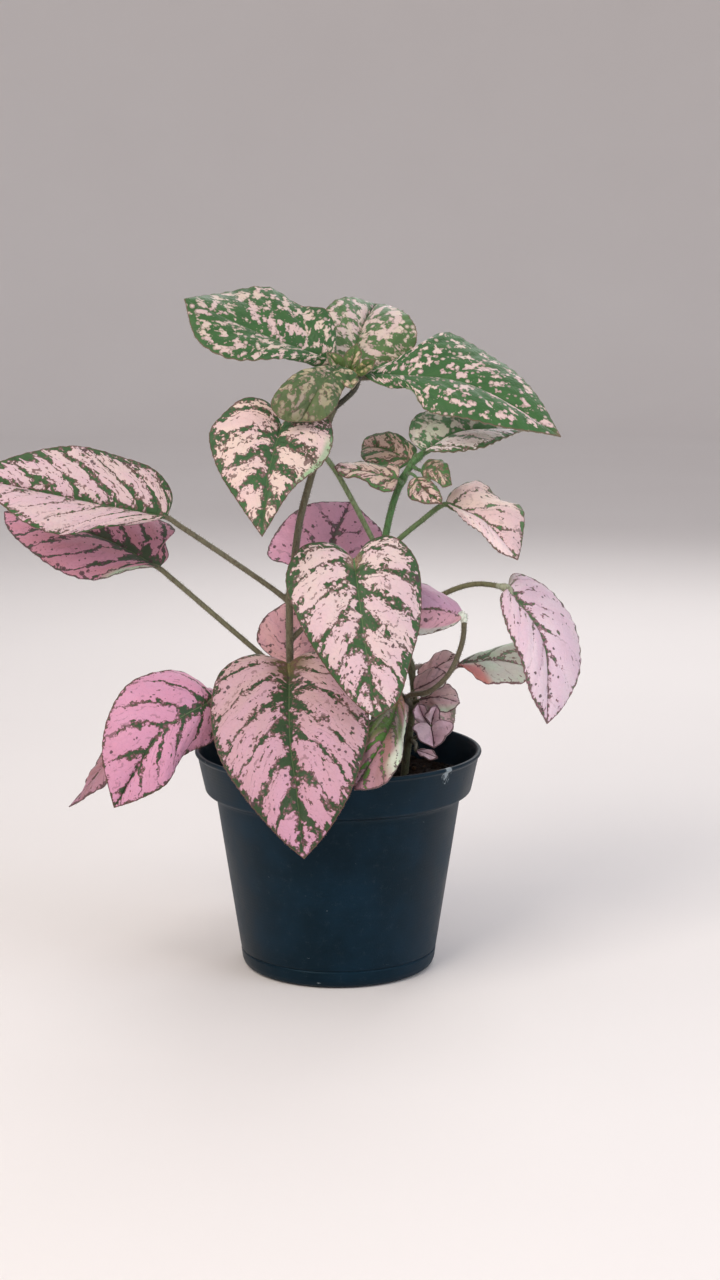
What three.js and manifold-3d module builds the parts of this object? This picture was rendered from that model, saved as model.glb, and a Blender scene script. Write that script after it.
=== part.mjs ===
// A polka dot plant in a small plastic nursery pot.
// Millimetres, +Z up. The origin is on the floor, on the pot's axis. The front of the plant looks along -Y.
import * as THREE from 'three';
import { mergeVertices } from 'three/addons/utils/BufferGeometryUtils.js';
import Module from 'manifold-3d';

const wasm = await Module();
wasm.setup();

// Driving dimensions, in mm
const POT_HEIGHT = 77;
const RIM_RADIUS = 50;
const RIM_HEIGHT = 15;
const RIM_TAPER = 3.5;
const SHELF_HEIGHT = POT_HEIGHT - RIM_HEIGHT;
const BODY_TOP_RADIUS = 42.6;
const FOOT_RADIUS = 31.5;
const FOOT_GROOVE_HEIGHT = 6.2;
const WALL = 1.2;
const FLOOR = 1.5;
const POT_SIDES = 40;
const DRAIN_HOLES = 6;
const DRAIN_RADIUS = 3.2;
const DRAIN_CIRCLE = 24;
const DRAIN_CUT = 4;

const SOIL_LEVEL = 66;
const SOIL_GAP = 0.3;
const SOIL_UNEVEN = 0.7;
const SOIL_HILLS = 0.3;
const SOIL_RINGS = [28, 18, 9, 0];
const STEM_HOLE_FLOOR = 51.5;
const STEM_HOLE_GAP = 0.6;
const STEM_HOLE_CUT = 20;
const HOLE_SIDES = 12;

const BLADE = 0.8;
const BLADE_GAP = 0.42;
const CAMBER = 0.1;
const WAVE = 0.7;
const WAVES = 2;
const VEIN_SWEEP = 1.8;
const BLADE_ROWS = 10;
const BLADE_COLUMNS = 6;
const SMALL_ROWS = 7;
const SMALL_COLUMNS = 4;
const NORMAL_REACH = 0.08;

const STEM_RADIUS = 1.3;
const PETIOLE_RADIUS = 0.85;
const SHOOT_RADIUS = 0.6;
const NODE_RADIUS = 1.7;
const STEM_SIDES = 8;
const STALK_SIDES = 6;
const STEM_STEP = 8;
const STALK_STEP = 4.5;
const FEWEST_STEPS = 3;
const UNDER_BLADE = 3;
const BALL_SIDES = 8;
const BALL_ROWS = 6;

// Where the photograph was taken from: mm, degrees and pixels of its 720 x 1280 frame
const EYE = { side: 7.6, distance: 780, height: 247.8, pitch: 9.66 };
const FOCAL = 2283;
const CENTRE = { column: 360, row: 640 };

const LEAF_GREEN = 0x41663a;
const LEAF_PINK = 0xe2b7c2;
const LEAF_MAUVE = 0xb98199;
const LEAF_PALE = 0xe3ccd8;
const POT_BLACK = 0x1f2d3a;
const SOIL_BROWN = 0x1c1712;
const ROUGHNESS = { pot: 0.45, soil: 0.95, stem: 0.6, leaf: 0.55 };

// The point that the photograph shows at a column and a row, at a depth in mm behind the pot's axis
function seen([column, row, depth]) {
  const pitch = THREE.MathUtils.degToRad(EYE.pitch);
  const right = (column - CENTRE.column) / FOCAL;
  const up = (CENTRE.row - row) / FOCAL;
  const away = Math.cos(pitch) + up * Math.sin(pitch);
  const climb = up * Math.cos(pitch) - Math.sin(pitch);
  const reach = (depth + EYE.distance) / away;
  return new THREE.Vector3(EYE.side + reach * right, depth, EYE.height + reach * climb);
}

// Every leaf as it hangs in the photograph: the base and tip of the blade, the middle of its rib, and points
// along its left and right edges, as [column, row, depth]. Left and right are as seen on the upper side with
// the tip up.
const LEAVES = {
  leaf_top_left: { color: LEAF_GREEN, base: [336, 362, -6], rib: [[262, 334, -11]], tip: [184, 299, -14],
    left: [[318, 367, -9], [303, 362, -12], [268, 358, -21], [225, 358, -24], [198, 342, -21]],
    right: [[334, 325, -2], [325, 309, 0], [300, 305, 4], [268, 289, 7], [225, 292, 3]] },
  leaf_top_back: { color: LEAF_GREEN, base: [350, 370, 4], rib: [[362, 328, 20]], tip: [376, 304, 42],
    left: [[327, 354, 5], [321, 325, 13], [331, 304, 24], [352, 298, 32]],
    right: [[385, 364, 7], [412, 350, 10], [417, 335, 12], [411, 320, 17], [395, 307, 28]] },
  leaf_top_right: { color: LEAF_GREEN, base: [362, 373, -5], rib: [[465, 383, -8]], tip: [561, 437, -19],
    left: [[380, 364, -4], [402, 356, 0], [422, 345, 6], [447, 332, 12], [500, 362, 8], [538, 398, -6]],
    right: [[371, 381, -8], [390, 388, -9], [412, 389, -13], [428, 411, -20], [470, 421, -25], [525, 430, -24]] },
  leaf_top_front: { color: LEAF_GREEN, base: [338, 366, -10], rib: [[318, 390, -21]], tip: [300, 422, -24],
    left: [[357, 376, -11], [344, 388, -16], [335, 408, -21], [322, 420, -24]],
    right: [[302, 370, -17], [284, 384, -22], [271, 404, -27], [281, 419, -26]] },
  leaf_second_right: { color: LEAF_GREEN, base: [424, 452, 0], rib: [[455, 433, 2]], tip: [526, 430, 6],
    left: [[410, 438, 4], [413, 420, 8], [430, 410, 12], [480, 412, 14]],
    right: [[435, 452, -6], [460, 450, -9], [484, 449, -9], [505, 437, -3]] },
  leaf_upper_heart: { color: LEAF_PINK, base: [281, 426, -17], rib: [[267, 480, -32]], tip: [262, 537, -42],
    left: [[300, 410, -14], [327, 418, -16], [333, 440, -20], [322, 464, -26], [290, 493, -35]],
    right: [[268, 403, -15], [245, 398, -16], [222, 415, -18], [210, 432, -20], [216, 465, -27], [240, 505, -36]] },
  leaf_shoot_back: { color: LEAF_GREEN, small: true, base: [411, 462, 3], rib: [[388, 450, 9]], tip: [362, 446, 18],
    left: [[396, 470, 3], [372, 466, 5], [362, 458, 11]],
    right: [[417, 450, 6], [400, 436, 12], [378, 433, 17], [366, 438, 19]] },
  leaf_shoot_left: { color: LEAF_PINK, small: true, base: [398, 479, -9], rib: [[368, 472, -12]],
    tip: [334, 467, -15], left: [[393, 491, -12], [384, 492, -14], [362, 480, -16], [343, 477, -16]],
    right: [[398, 465, -6], [375, 465, -6], [350, 462, -9], [340, 463, -13]] },
  leaf_shoot_right: { color: LEAF_GREEN, small: true, base: [421, 470, -8], rib: [[436, 468, -12]],
    tip: [452, 485, -16], left: [[428, 462, -4], [441, 459, -6], [448, 468, -11]],
    right: [[424, 478, -12], [436, 482, -15], [444, 487, -17]] },
  leaf_shoot_front: { color: LEAF_PINK, small: true, base: [416, 477, -13], rib: [[423, 488, -18]],
    tip: [442, 504, -24], left: [[430, 480, -16], [438, 489, -20], [442, 497, -23]],
    right: [[409, 483, -15], [408, 495, -19], [412, 501, -22], [428, 503, -24]] },
  leaf_right_upper: { color: LEAF_PINK, base: [446, 503, -8], rib: [[483, 520, -14]], tip: [518, 560, -22],
    left: [[452, 492, -2], [480, 482, 4], [502, 499, 2], [521, 508, -4], [522, 540, -14]],
    right: [[455, 511, -11], [478, 532, -18], [500, 552, -22]] },
  leaf_far_left_upper: { color: LEAF_PINK, base: [167, 517, -20], rib: [[85, 501, -26]], tip: [-27, 478, -32],
    left: [[140, 523, -24], [100, 528, -32], [60, 534, -38], [25, 524, -40], [-5, 499, -38]],
    right: [[172, 495, -17], [155, 470, -15], [115, 455, -16], [75, 447, -18], [30, 452, -22], [-5, 464, -27]] },
  leaf_far_left_lower: { color: LEAF_MAUVE, base: [159, 567, -8], rib: [[100, 537, -4]], tip: [4, 512, 0],
    left: [[138, 569, -12], [95, 580, -17], [55, 568, -17], [20, 543, -11], [6, 525, -5]],
    right: [[168, 556, -4], [165, 541, -2], [175, 530, 2], [150, 515, 6], [100, 505, 8], [40, 505, 6]] },
  leaf_behind_centre: { color: LEAF_MAUVE, base: [325, 575, 8], rib: [[333, 540, 14]], tip: [350, 502, 24],
    left: [[290, 566, 6], [268, 556, 8], [283, 523, 14], [312, 504, 20]],
    right: [[360, 565, 12], [382, 535, 16], [365, 514, 20]] },
  leaf_centre_heart: { color: LEAF_PINK, base: [354, 561, -24], rib: [[362, 620, -36]], tip: [375, 718, -48],
    left: [[370, 541, -22], [393, 537, -22], [416, 560, -24], [421, 615, -31], [410, 662, -40], [397, 702, -46]],
    right: [[335, 545, -22], [303, 546, -24], [286, 575, -27], [297, 617, -33], [330, 673, -41],
      [358, 706, -46]] },
  leaf_front_heart: { color: LEAF_PINK, base: [289, 664, -19], rib: [[290, 740, -43], [297, 795, -56]],
    tip: [304, 859, -64],
    left: [[312, 652, -17], [345, 668, -23], [367, 705, -33], [366, 745, -46], [350, 795, -59], [325, 835, -62]],
    right: [[255, 655, -18], [222, 670, -23], [211, 705, -31], [219, 756, -43], [245, 798, -53],
      [280, 838, -60]] },
  leaf_low_left: { color: LEAF_PINK, base: [214, 699, -24], rib: [[163, 731, -38]], tip: [114, 808, -42],
    left: [[222, 725, -23], [212, 741, -27], [183, 757, -36], [165, 785, -42], [140, 799, -44]],
    right: [[200, 683, -20], [174, 670, -22], [130, 683, -30], [108, 718, -36], [102, 755, -40],
      [108, 785, -42]] },
  leaf_low_left_narrow: { color: LEAF_MAUVE, small: true, base: [114, 750, -30], rib: [[96, 776, -28]],
    tip: [69, 807, -26], left: [[118, 770, -33], [105, 784, -33], [88, 797, -30]],
    right: [[103, 752, -28], [91, 774, -25], [80, 796, -25]] },
  leaf_behind_stem: { color: LEAF_MAUVE, base: [290, 668, -3], rib: [[288, 635, 2]], tip: [289, 600, 6],
    left: [[270, 655, 0], [257, 640, 2], [264, 619, 5]],
    right: [[312, 664, 0], [322, 645, 2], [308, 618, 5]] },
  leaf_folded_right: { color: LEAF_PINK, base: [463, 615, -10], rib: [[435, 609, -16]], tip: [398, 612, -20],
    left: [[455, 624, -13], [435, 632, -18], [412, 634, -21]],
    right: [[454, 601, -6], [435, 589, -4], [415, 584, -6], [400, 595, -14]] },
  leaf_right_hanging: { color: LEAF_PALE, base: [508, 588, -3], rib: [[543, 640, -12]], tip: [547, 724, -20],
    left: [[513, 574, 2], [535, 581, 6], [558, 599, 8], [576, 625, 6], [578, 672, -4], [563, 707, -14]],
    right: [[500, 598, -8], [508, 628, -16], [520, 662, -22], [533, 697, -23]] },
  leaf_right_pale: { color: LEAF_PALE, base: [458, 664, 8], rib: [[495, 660, 7]], tip: [532, 668, 6],
    left: [[475, 656, 12], [500, 647, 15], [518, 644, 14]],
    right: [[470, 672, 4], [488, 684, 0], [508, 684, -1], [524, 682, 1]] },
  leaf_curl_upper: { color: LEAF_PINK, small: true, base: [424, 682, -2], rib: [[436, 668, 0]], tip: [458, 656, 2],
    left: [[418, 672, 2], [432, 657, 5], [447, 651, 5]], right: [[436, 684, -6], [450, 676, -6], [459, 664, -2]] },
  leaf_curl_middle: { color: LEAF_MAUVE, small: true, base: [414, 690, -9], rib: [[428, 684, -12]],
    tip: [446, 672, -13], left: [[416, 678, -7], [424, 671, -7], [436, 668, -9]],
    right: [[422, 697, -13], [436, 692, -16], [446, 682, -15]] },
  leaf_curl_lower: { color: LEAF_MAUVE, small: true, base: [419, 700, -9], rib: [[438, 697, -12]],
    tip: [460, 703, -16], left: [[430, 689, -7], [446, 683, -7], [456, 693, -10]],
    right: [[424, 708, -12], [440, 713, -16], [452, 710, -17]] },
  leaf_over_rim: { color: LEAF_MAUVE, base: [400, 693, -16], rib: [[386, 735, -38]], tip: [354, 790, -54],
    left: [[404, 708, -20], [404, 738, -36], [398, 768, -51], [385, 784, -55], [370, 789, -56]],
    right: [[385, 705, -24], [366, 728, -36], [356, 762, -46]] },
  leaf_tiny: { color: LEAF_MAUVE, small: true, base: [416, 750, -21], rib: [[426, 753, -23]], tip: [438, 758, -25],
    left: [[424, 749, -22], [433, 751, -23]], right: [[422, 757, -24], [431, 760, -25]] },
  leaf_back_middle: { color: LEAF_PINK, base: [372, 600, 8], rib: [[345, 640, 30]], tip: [330, 700, 44],
    left: [[352, 590, 14], [318, 612, 24], [308, 655, 36]],
    right: [[398, 605, 8], [405, 640, 20], [378, 682, 36]] },
  leaf_back_low: { color: LEAF_PINK, base: [280, 685, 12], rib: [[262, 700, 42]], tip: [245, 770, 70],
    left: [[262, 678, 16], [225, 690, 34], [205, 718, 56]],
    right: [[300, 690, 18], [318, 700, 36], [306, 702, 52], [285, 745, 66]] },
  leaf_back_upper: { color: LEAF_PINK, base: [308, 452, 4], rib: [[280, 455, 24]], tip: [245, 480, 42],
    left: [[290, 470, 6], [255, 482, 18], [240, 484, 32]],
    right: [[318, 440, 16], [300, 430, 36], [262, 445, 46]] },
  leaf_back_top_right: { color: LEAF_GREEN, base: [392, 376, 12], rib: [[435, 374, 30]], tip: [490, 392, 46],
    left: [[405, 362, 20], [440, 352, 36], [475, 367, 46]],
    right: [[408, 382, 10], [450, 402, 20], [485, 405, 36]] },
  leaf_back_left: { color: LEAF_PINK, base: [228, 700, 10], rib: [[185, 712, 28]], tip: [148, 740, 44],
    left: [[212, 725, 12], [172, 748, 22], [150, 752, 36]],
    right: [[222, 690, 26], [195, 690, 40], [160, 706, 48]] },
  leaf_back_right: { color: LEAF_PINK, base: [412, 705, 10], rib: [[425, 704, 42]], tip: [440, 775, 70],
    left: [[398, 698, 14], [385, 702, 38], [398, 703, 54], [412, 750, 68]],
    right: [[428, 700, 16], [452, 703, 38], [456, 712, 55]] },
  leaf_back_short: { color: LEAF_PINK, base: [387, 586, 12], rib: [[392, 574, 27]], tip: [398, 564, 46],
    left: [[370, 592, 13], [350, 580, 30], [372, 566, 42]],
    right: [[398, 594, 12], [416, 582, 26], [412, 568, 40]] },
};

// The five small leaves of a young shoot, which meet in one bud
const ROSETTE = [
  { base: [428, 727, -16], rib: [[422, 716, -16]], tip: [418, 703, -18],
    left: [[419, 722, -17], [414, 712, -19]], right: [[427, 716, -17], [424, 707, -19]] },
  { base: [430, 726, -16], rib: [[432, 717, -16]], tip: [436, 707, -18],
    left: [[427, 718, -18], [429, 710, -19]], right: [[438, 721, -17], [439, 713, -18]] },
  { base: [427, 729, -17], rib: [[420, 730, -18]], tip: [411, 727, -21],
    left: [[428, 737, -20], [420, 740, -22], [413, 734, -22]], right: [[422, 722, -17], [414, 722, -19]] },
  { base: [431, 730, -18], rib: [[433, 739, -20]], tip: [436, 749, -23],
    left: [[438, 730, -19], [445, 740, -21]], right: [[427, 735, -19], [428, 742, -21]] },
  { base: [432, 728, -17], rib: [[441, 727, -18]], tip: [452, 723, -20],
    left: [[434, 721, -16], [444, 719, -18]], right: [[440, 736, -19], [450, 733, -20]] },
];
const BUD = [430, 728, -15.5];
const BUD_RADIUS = 1.2;

// Every stem, from where it stands in the soil to its top, with its joints and the leaf stalks that leave it
const STEMS = {
  stem_main: {
    color: 0x5b5a3c,
    foot: { x: -16, y: 1 },
    path: [[291, 700, -8], [290, 664, -12], [290, 596, -14], [294, 562, -14], [300, 520, -12], [312, 474, -10],
      [327, 427, -8], [333, 408, -7], [341, 378, -4]],
    joints: [[290, 690, -9], [290, 598, -14], [333, 408, -7], [341, 379, -4]],
    stalks: {
      leaf_top_left: [[341, 379, -4], [339, 371, -5]],
      leaf_top_back: [[341, 379, -4], [346, 374, 0]],
      leaf_top_front: [[341, 379, -4], [340, 373, -7]],
      leaf_top_right: [[333, 408, -7], [343, 401, -8], [355, 389, -8]],
      leaf_far_left_upper: [[290, 602, -14], [270, 587, -15], [225, 556, -17], [180, 526, -19]],
      leaf_far_left_lower: [[290, 679, -10], [272, 664, -11], [225, 624, -10], [170, 577, -8]],
      leaf_front_heart: [[290, 692, -9], [290, 678, -14]],
      leaf_low_left: [[290, 692, -9], [255, 690, -11], [230, 695, -17]],
      leaf_low_left_narrow: [[291, 704, -7], [240, 712, -4], [180, 728, -14], [135, 742, -25]],
      leaf_behind_stem: [[290, 692, -9], [290, 680, -5]],
      leaf_behind_centre: [[290, 600, -14], [304, 597, -4], [320, 585, 5]],
      leaf_back_middle: [[290, 640, -13], [320, 615, -6], [355, 602, 3]],
      leaf_back_low: [[291, 704, -7], [286, 694, 4]],
      leaf_back_upper: [[317, 458, -9], [314, 456, -2]],
      leaf_back_left: [[291, 704, -7], [262, 704, 2]],
      leaf_back_top_right: [[341, 379, -4], [362, 378, 5]],
    },
  },
  stem_shoot: {
    color: 0x4d7b3a,
    foot: { x: 11, y: 8 },
    path: [[378, 680, 6], [381, 600, 0], [385, 540, -4], [397, 492, -4], [411, 465, -3], [419, 456, -2]],
    joints: [[381, 556, -3], [402, 480, -4], [419, 457, -2]],
    stalks: {
      leaf_upper_heart: [[381, 556, -3], [352, 500, -8], [330, 463, -12], [305, 437, -14]],
      leaf_right_upper: [[381, 556, -3], [397, 541, -5], [420, 522, -6]],
      leaf_centre_heart: [[381, 560, -3], [370, 560, -13]],
      leaf_shoot_back: [[408, 470, -3], [411, 468, 0]],
      leaf_shoot_left: [[402, 482, -4], [401, 482, -7]],
      leaf_shoot_right: [[412, 466, -3], [417, 469, -6]],
      leaf_shoot_front: [[406, 474, -3], [412, 474, -9]],
      leaf_second_right: [[419, 457, -2], [422, 454, -1]],
      leaf_back_short: [[381, 592, 0], [385, 588, 6]],
    },
  },
  stem_low: {
    color: 0x55603f,
    foot: { x: 23, y: 0 },
    path: [[412, 715, -3], [414, 694, -4], [410, 660, -2]],
    joints: [[413, 706, -4], [411, 668, -2]],
    stalks: {
      leaf_folded_right: [[413, 706, -4], [407, 700, -11], [411, 695, -19], [430, 691, -23], [448, 675, -23],
        [460, 650, -19], [464, 630, -14]],
      leaf_right_hanging: [[410, 664, -2], [408, 640, 0], [424, 608, 2], [448, 592, 0], [475, 584, -1],
        [498, 586, -2]],
      leaf_right_pale: [[411, 668, -2], [425, 666, 12], [445, 665, 12]],
      leaf_curl_upper: [[413, 690, -4], [419, 686, -2]],
      leaf_curl_middle: [[413, 704, -4], [411, 697, -8]],
      leaf_curl_lower: [[413, 706, -4], [415, 703, -7]],
      leaf_over_rim: [[413, 706, -4], [404, 698, -12]],
      leaf_back_right: [[412, 714, -3], [412, 710, 4]],
      leaf_tiny: [[412, 740, -2], [416, 744, -12]],
      rosette: [[412, 740, -2], [421, 734, -8]],
    },
  },
};

// A BufferGeometry as a solid for joining and cutting
function toSolid(geometry) {
  const bare = geometry.clone();
  bare.deleteAttribute('normal');
  bare.deleteAttribute('uv');
  const merged = mergeVertices(bare);
  return new wasm.Manifold(new wasm.Mesh({
    numProp: 3,
    vertProperties: merged.attributes.position.array,
    triVerts: new Uint32Array(merged.index.array),
  }));
}

// A solid back as a BufferGeometry
function toGeometry(solid) {
  const mesh = solid.getMesh();
  const geometry = new THREE.BufferGeometry();
  geometry.setAttribute('position', new THREE.BufferAttribute(new Float32Array(mesh.vertProperties), 3));
  geometry.setIndex(new THREE.BufferAttribute(new Uint32Array(mesh.triVerts), 1));
  geometry.computeVertexNormals();
  return geometry;
}

function join(geometries) {
  return toGeometry(geometries.map(toSolid).reduce((whole, next) => whole.add(next)));
}

function named(name, geometry, color, roughness) {
  const mesh = new THREE.Mesh(geometry, new THREE.MeshStandardMaterial({ color, roughness, metalness: 0 }));
  mesh.name = name;
  return mesh;
}

// The middle surface of a blade: s runs from base to tip and v from the left edge, -1, to the right edge, 1
function surface(leaf) {
  const line = (points) => new THREE.CatmullRomCurve3(
    [leaf.base, ...points, leaf.tip].map(seen), false, 'centripetal');
  const spine = line(leaf.rib);
  const edges = { left: line(leaf.left), right: line(leaf.right) };

  const flat = (s, v) => {
    const from = spine.getPointAt(s ** VEIN_SWEEP);
    const to = (v < 0 ? edges.left : edges.right).getPointAt(s);
    return from.lerp(to, Math.abs(v));
  };
  const normal = (s, v) => {
    const row = THREE.MathUtils.clamp(s, NORMAL_REACH, 1 - NORMAL_REACH);
    const column = THREE.MathUtils.clamp(v, NORMAL_REACH - 1, 1 - NORMAL_REACH);
    const across = flat(row, column + NORMAL_REACH).sub(flat(row, column - NORMAL_REACH));
    const along = flat(row + NORMAL_REACH, column).sub(flat(row - NORMAL_REACH, column));
    return across.cross(along).normalize();
  };
  const point = (s, v) => {
    const outward = Math.abs(v);
    const middle = flat(s, 0);
    const width = flat(s, Math.sign(v)).distanceTo(middle);
    const crown = CAMBER * width * 4 * outward * (1 - outward);
    const ripple = WAVE * outward ** 2 * Math.sin(Math.PI * s) * Math.sin(2 * Math.PI * WAVES * s + v);
    return flat(s, v).addScaledVector(normal(s, v), crown + ripple);
  };
  return { point, normal, spine };
}

// A blade of even thickness: rows of points on both faces, which meet at the base and the tip
function bladeGeometry(leaf) {
  const rows = leaf.small ? SMALL_ROWS : BLADE_ROWS;
  const columns = leaf.small ? SMALL_COLUMNS : BLADE_COLUMNS;
  const { point, normal } = surface(leaf);
  const positions = [];
  const indices = [];
  const ids = { top: [], bottom: [] };
  for (const [face, side] of [['top', 1], ['bottom', -1]]) {
    for (let row = 0; row <= rows; row += 1) {
      const s = row / rows;
      const pointed = row === 0 || row === rows;
      const line = [];
      for (let column = 0; column <= columns; column += 1) {
        const v = pointed ? 0 : (2 * column) / columns - 1;
        if (!pointed || column === 0) {
          positions.push(...point(s, v).addScaledVector(normal(s, v), (side * BLADE) / 2));
        }
        line.push(positions.length / 3 - 1);
      }
      ids[face].push(line);
    }
  }
  const triangle = (a, b, c) => {
    if (a !== b && b !== c && c !== a) indices.push(a, b, c);
  };
  for (let row = 0; row < rows; row += 1) {
    for (let column = 0; column < columns; column += 1) {
      const [t, b] = [ids.top, ids.bottom];
      triangle(t[row][column], t[row][column + 1], t[row + 1][column + 1]);
      triangle(t[row][column], t[row + 1][column + 1], t[row + 1][column]);
      triangle(b[row][column], b[row + 1][column + 1], b[row][column + 1]);
      triangle(b[row][column], b[row + 1][column], b[row + 1][column + 1]);
    }
    for (const [column, flip] of [[0, true], [columns, false]]) {
      const [t0, t1] = [ids.top[row][column], ids.top[row + 1][column]];
      const [b0, b1] = [ids.bottom[row][column], ids.bottom[row + 1][column]];
      if (flip) {
        triangle(t0, t1, b1);
        triangle(t0, b1, b0);
      } else {
        triangle(t0, b1, t1);
        triangle(t0, b0, b1);
      }
    }
  }
  const geometry = new THREE.BufferGeometry();
  geometry.setAttribute('position', new THREE.Float32BufferAttribute(positions, 3));
  geometry.setIndex(indices);
  geometry.computeVertexNormals();
  return geometry;
}

// A round rod along points in space
function rod(points, radius, sides, step) {
  const path = new THREE.CatmullRomCurve3(points, false, 'centripetal');
  const section = new THREE.Shape();
  section.absarc(0, 0, radius, 0, 2 * Math.PI);
  const steps = Math.max(FEWEST_STEPS, Math.round(path.getLength() / step));
  return new THREE.ExtrudeGeometry(section, {
    steps, bevelEnabled: false, extrudePath: path, curveSegments: sides / 2,
  });
}

function ball(point, radius) {
  return new THREE.SphereGeometry(radius, BALL_SIDES, BALL_ROWS).translate(...seen(point));
}

// The end of a leaf stalk: it runs in under the rib and stays just clear of the blade
function stalkEnd(leaf, radius) {
  const { point, normal, spine } = surface(leaf);
  const drop = BLADE / 2 + BLADE_GAP + radius;
  const heading = spine.getTangentAt(0);
  const s = (UNDER_BLADE / spine.getLength()) ** (1 / VEIN_SWEEP);
  return [
    seen(leaf.base).addScaledVector(normal(0, 0), -drop).addScaledVector(heading, -1),
    point(s, 0).addScaledVector(normal(s, 0), -drop),
  ];
}

function stemGeometry({ foot, path, joints, stalks }) {
  const upright = [STEM_HOLE_FLOOR + SOIL_GAP, SOIL_LEVEL - 1].map((z) => new THREE.Vector3(foot.x, foot.y, z));
  const pieces = [rod([...upright, ...path.map(seen)], STEM_RADIUS, STEM_SIDES, STEM_STEP)];
  for (const joint of joints) pieces.push(ball(joint, NODE_RADIUS));
  for (const [name, points] of Object.entries(stalks)) {
    const leaf = LEAVES[name];
    const radius = leaf && !leaf.small ? PETIOLE_RADIUS : SHOOT_RADIUS;
    const end = leaf
      ? stalkEnd(leaf, radius)
      : [seen(BUD).add(new THREE.Vector3(0, BUD_RADIUS + BLADE_GAP + radius, 0))];
    pieces.push(rod([...points.map(seen), ...end], radius, STALK_SIDES, STALK_STEP));
  }
  return join(pieces);
}

function rosetteGeometry() {
  const blades = ROSETTE.map((leaf) => bladeGeometry({ ...leaf, small: true }));
  return join([ball(BUD, BUD_RADIUS), ...blades]);
}

// A turned solid from [radius, height] points of its closed profile
function turned(profile) {
  const points = profile.map(([radius, height]) => new THREE.Vector2(radius, height));
  return new THREE.LatheGeometry(points, POT_SIDES).rotateX(Math.PI / 2);
}

// An upright rod that cuts a hole, from the height z upward
function holeCutter(radius, height, x, y, z) {
  return new THREE.CylinderGeometry(radius, radius, height, HOLE_SIDES).rotateX(Math.PI / 2)
    .translate(x, y, z + height / 2);
}

// The pot: a flat foot with a groove above it, a tapered wall, a shelf and the wider rim band
function potGeometry() {
  const rimFoot = RIM_RADIUS - RIM_TAPER;
  const outside = [
    [0, 0], [FOOT_RADIUS, 0], [FOOT_RADIUS + 1.8, 0.9], [FOOT_RADIUS + 2.5, 2.6],
    [FOOT_RADIUS + 2.9, FOOT_GROOVE_HEIGHT - 0.4], [FOOT_RADIUS + 2.5, FOOT_GROOVE_HEIGHT],
    [FOOT_RADIUS + 3, FOOT_GROOVE_HEIGHT + 0.6], [BODY_TOP_RADIUS, SHELF_HEIGHT - 2],
    [BODY_TOP_RADIUS + 0.7, SHELF_HEIGHT - 0.6], [rimFoot - 0.5, SHELF_HEIGHT + 0.5],
    [rimFoot, SHELF_HEIGHT + 1.2], [RIM_RADIUS - 0.9, POT_HEIGHT - 1.8], [RIM_RADIUS - 0.1, POT_HEIGHT - 1.1],
    [RIM_RADIUS, POT_HEIGHT - 0.5], [RIM_RADIUS - 0.4, POT_HEIGHT],
  ];
  const inside = [
    [RIM_RADIUS - WALL - 0.2, POT_HEIGHT], [RIM_RADIUS - WALL - 0.9, POT_HEIGHT - 1],
    [rimFoot - WALL, SHELF_HEIGHT + 1.8], [BODY_TOP_RADIUS - WALL + 0.4, SHELF_HEIGHT + 0.2],
    [BODY_TOP_RADIUS - WALL, SHELF_HEIGHT - 2], [FOOT_RADIUS + 1.6, FOOT_GROOVE_HEIGHT + 0.6],
    [FOOT_RADIUS + 0.6, FLOOR + 1], [FOOT_RADIUS - 0.8, FLOOR], [0, FLOOR],
  ];
  let pot = toSolid(turned([...outside, ...inside]));
  for (let hole = 0; hole < DRAIN_HOLES; hole += 1) {
    const angle = (2 * Math.PI * (hole + 0.5)) / DRAIN_HOLES;
    const [x, y] = [DRAIN_CIRCLE * Math.cos(angle), DRAIN_CIRCLE * Math.sin(angle)];
    pot = pot.subtract(toSolid(holeCutter(DRAIN_RADIUS, DRAIN_CUT, x, y, (FLOOR - DRAIN_CUT) / 2)));
  }
  return toGeometry(pot);
}

// The potting mix fills the pot and its top is a little uneven
function soilGeometry() {
  const innerTop = BODY_TOP_RADIUS - WALL - SOIL_GAP;
  const top = RIM_RADIUS - RIM_TAPER - WALL - SOIL_GAP;
  const geometry = turned([
    [0, FLOOR + SOIL_GAP], [FOOT_RADIUS - 1.1, FLOOR + SOIL_GAP], [FOOT_RADIUS + 0.2, FLOOR + 1.2],
    [FOOT_RADIUS + 1.2, FOOT_GROOVE_HEIGHT + 0.7], [innerTop, SHELF_HEIGHT - 1.8],
    [innerTop + 0.2, SHELF_HEIGHT + 0.6], [top, SHELF_HEIGHT + 2.3], [top + 0.2, SOIL_LEVEL - 1],
    [top - 4, SOIL_LEVEL], ...SOIL_RINGS.map((radius) => [radius, SOIL_LEVEL]),
  ]);
  const position = geometry.attributes.position;
  for (let index = 0; index < position.count; index += 1) {
    const [x, y, z] = [position.getX(index), position.getY(index), position.getZ(index)];
    const hill = Math.sin(x * SOIL_HILLS) * Math.cos(y * SOIL_HILLS);
    if (z > SOIL_LEVEL - 0.1) position.setZ(index, z + SOIL_UNEVEN * hill);
  }
  let soil = toSolid(geometry);
  for (const { foot } of Object.values(STEMS)) {
    const hole = holeCutter(STEM_RADIUS + STEM_HOLE_GAP, STEM_HOLE_CUT, foot.x, foot.y, STEM_HOLE_FLOOR);
    soil = soil.subtract(toSolid(hole));
  }
  return toGeometry(soil);
}

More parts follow.
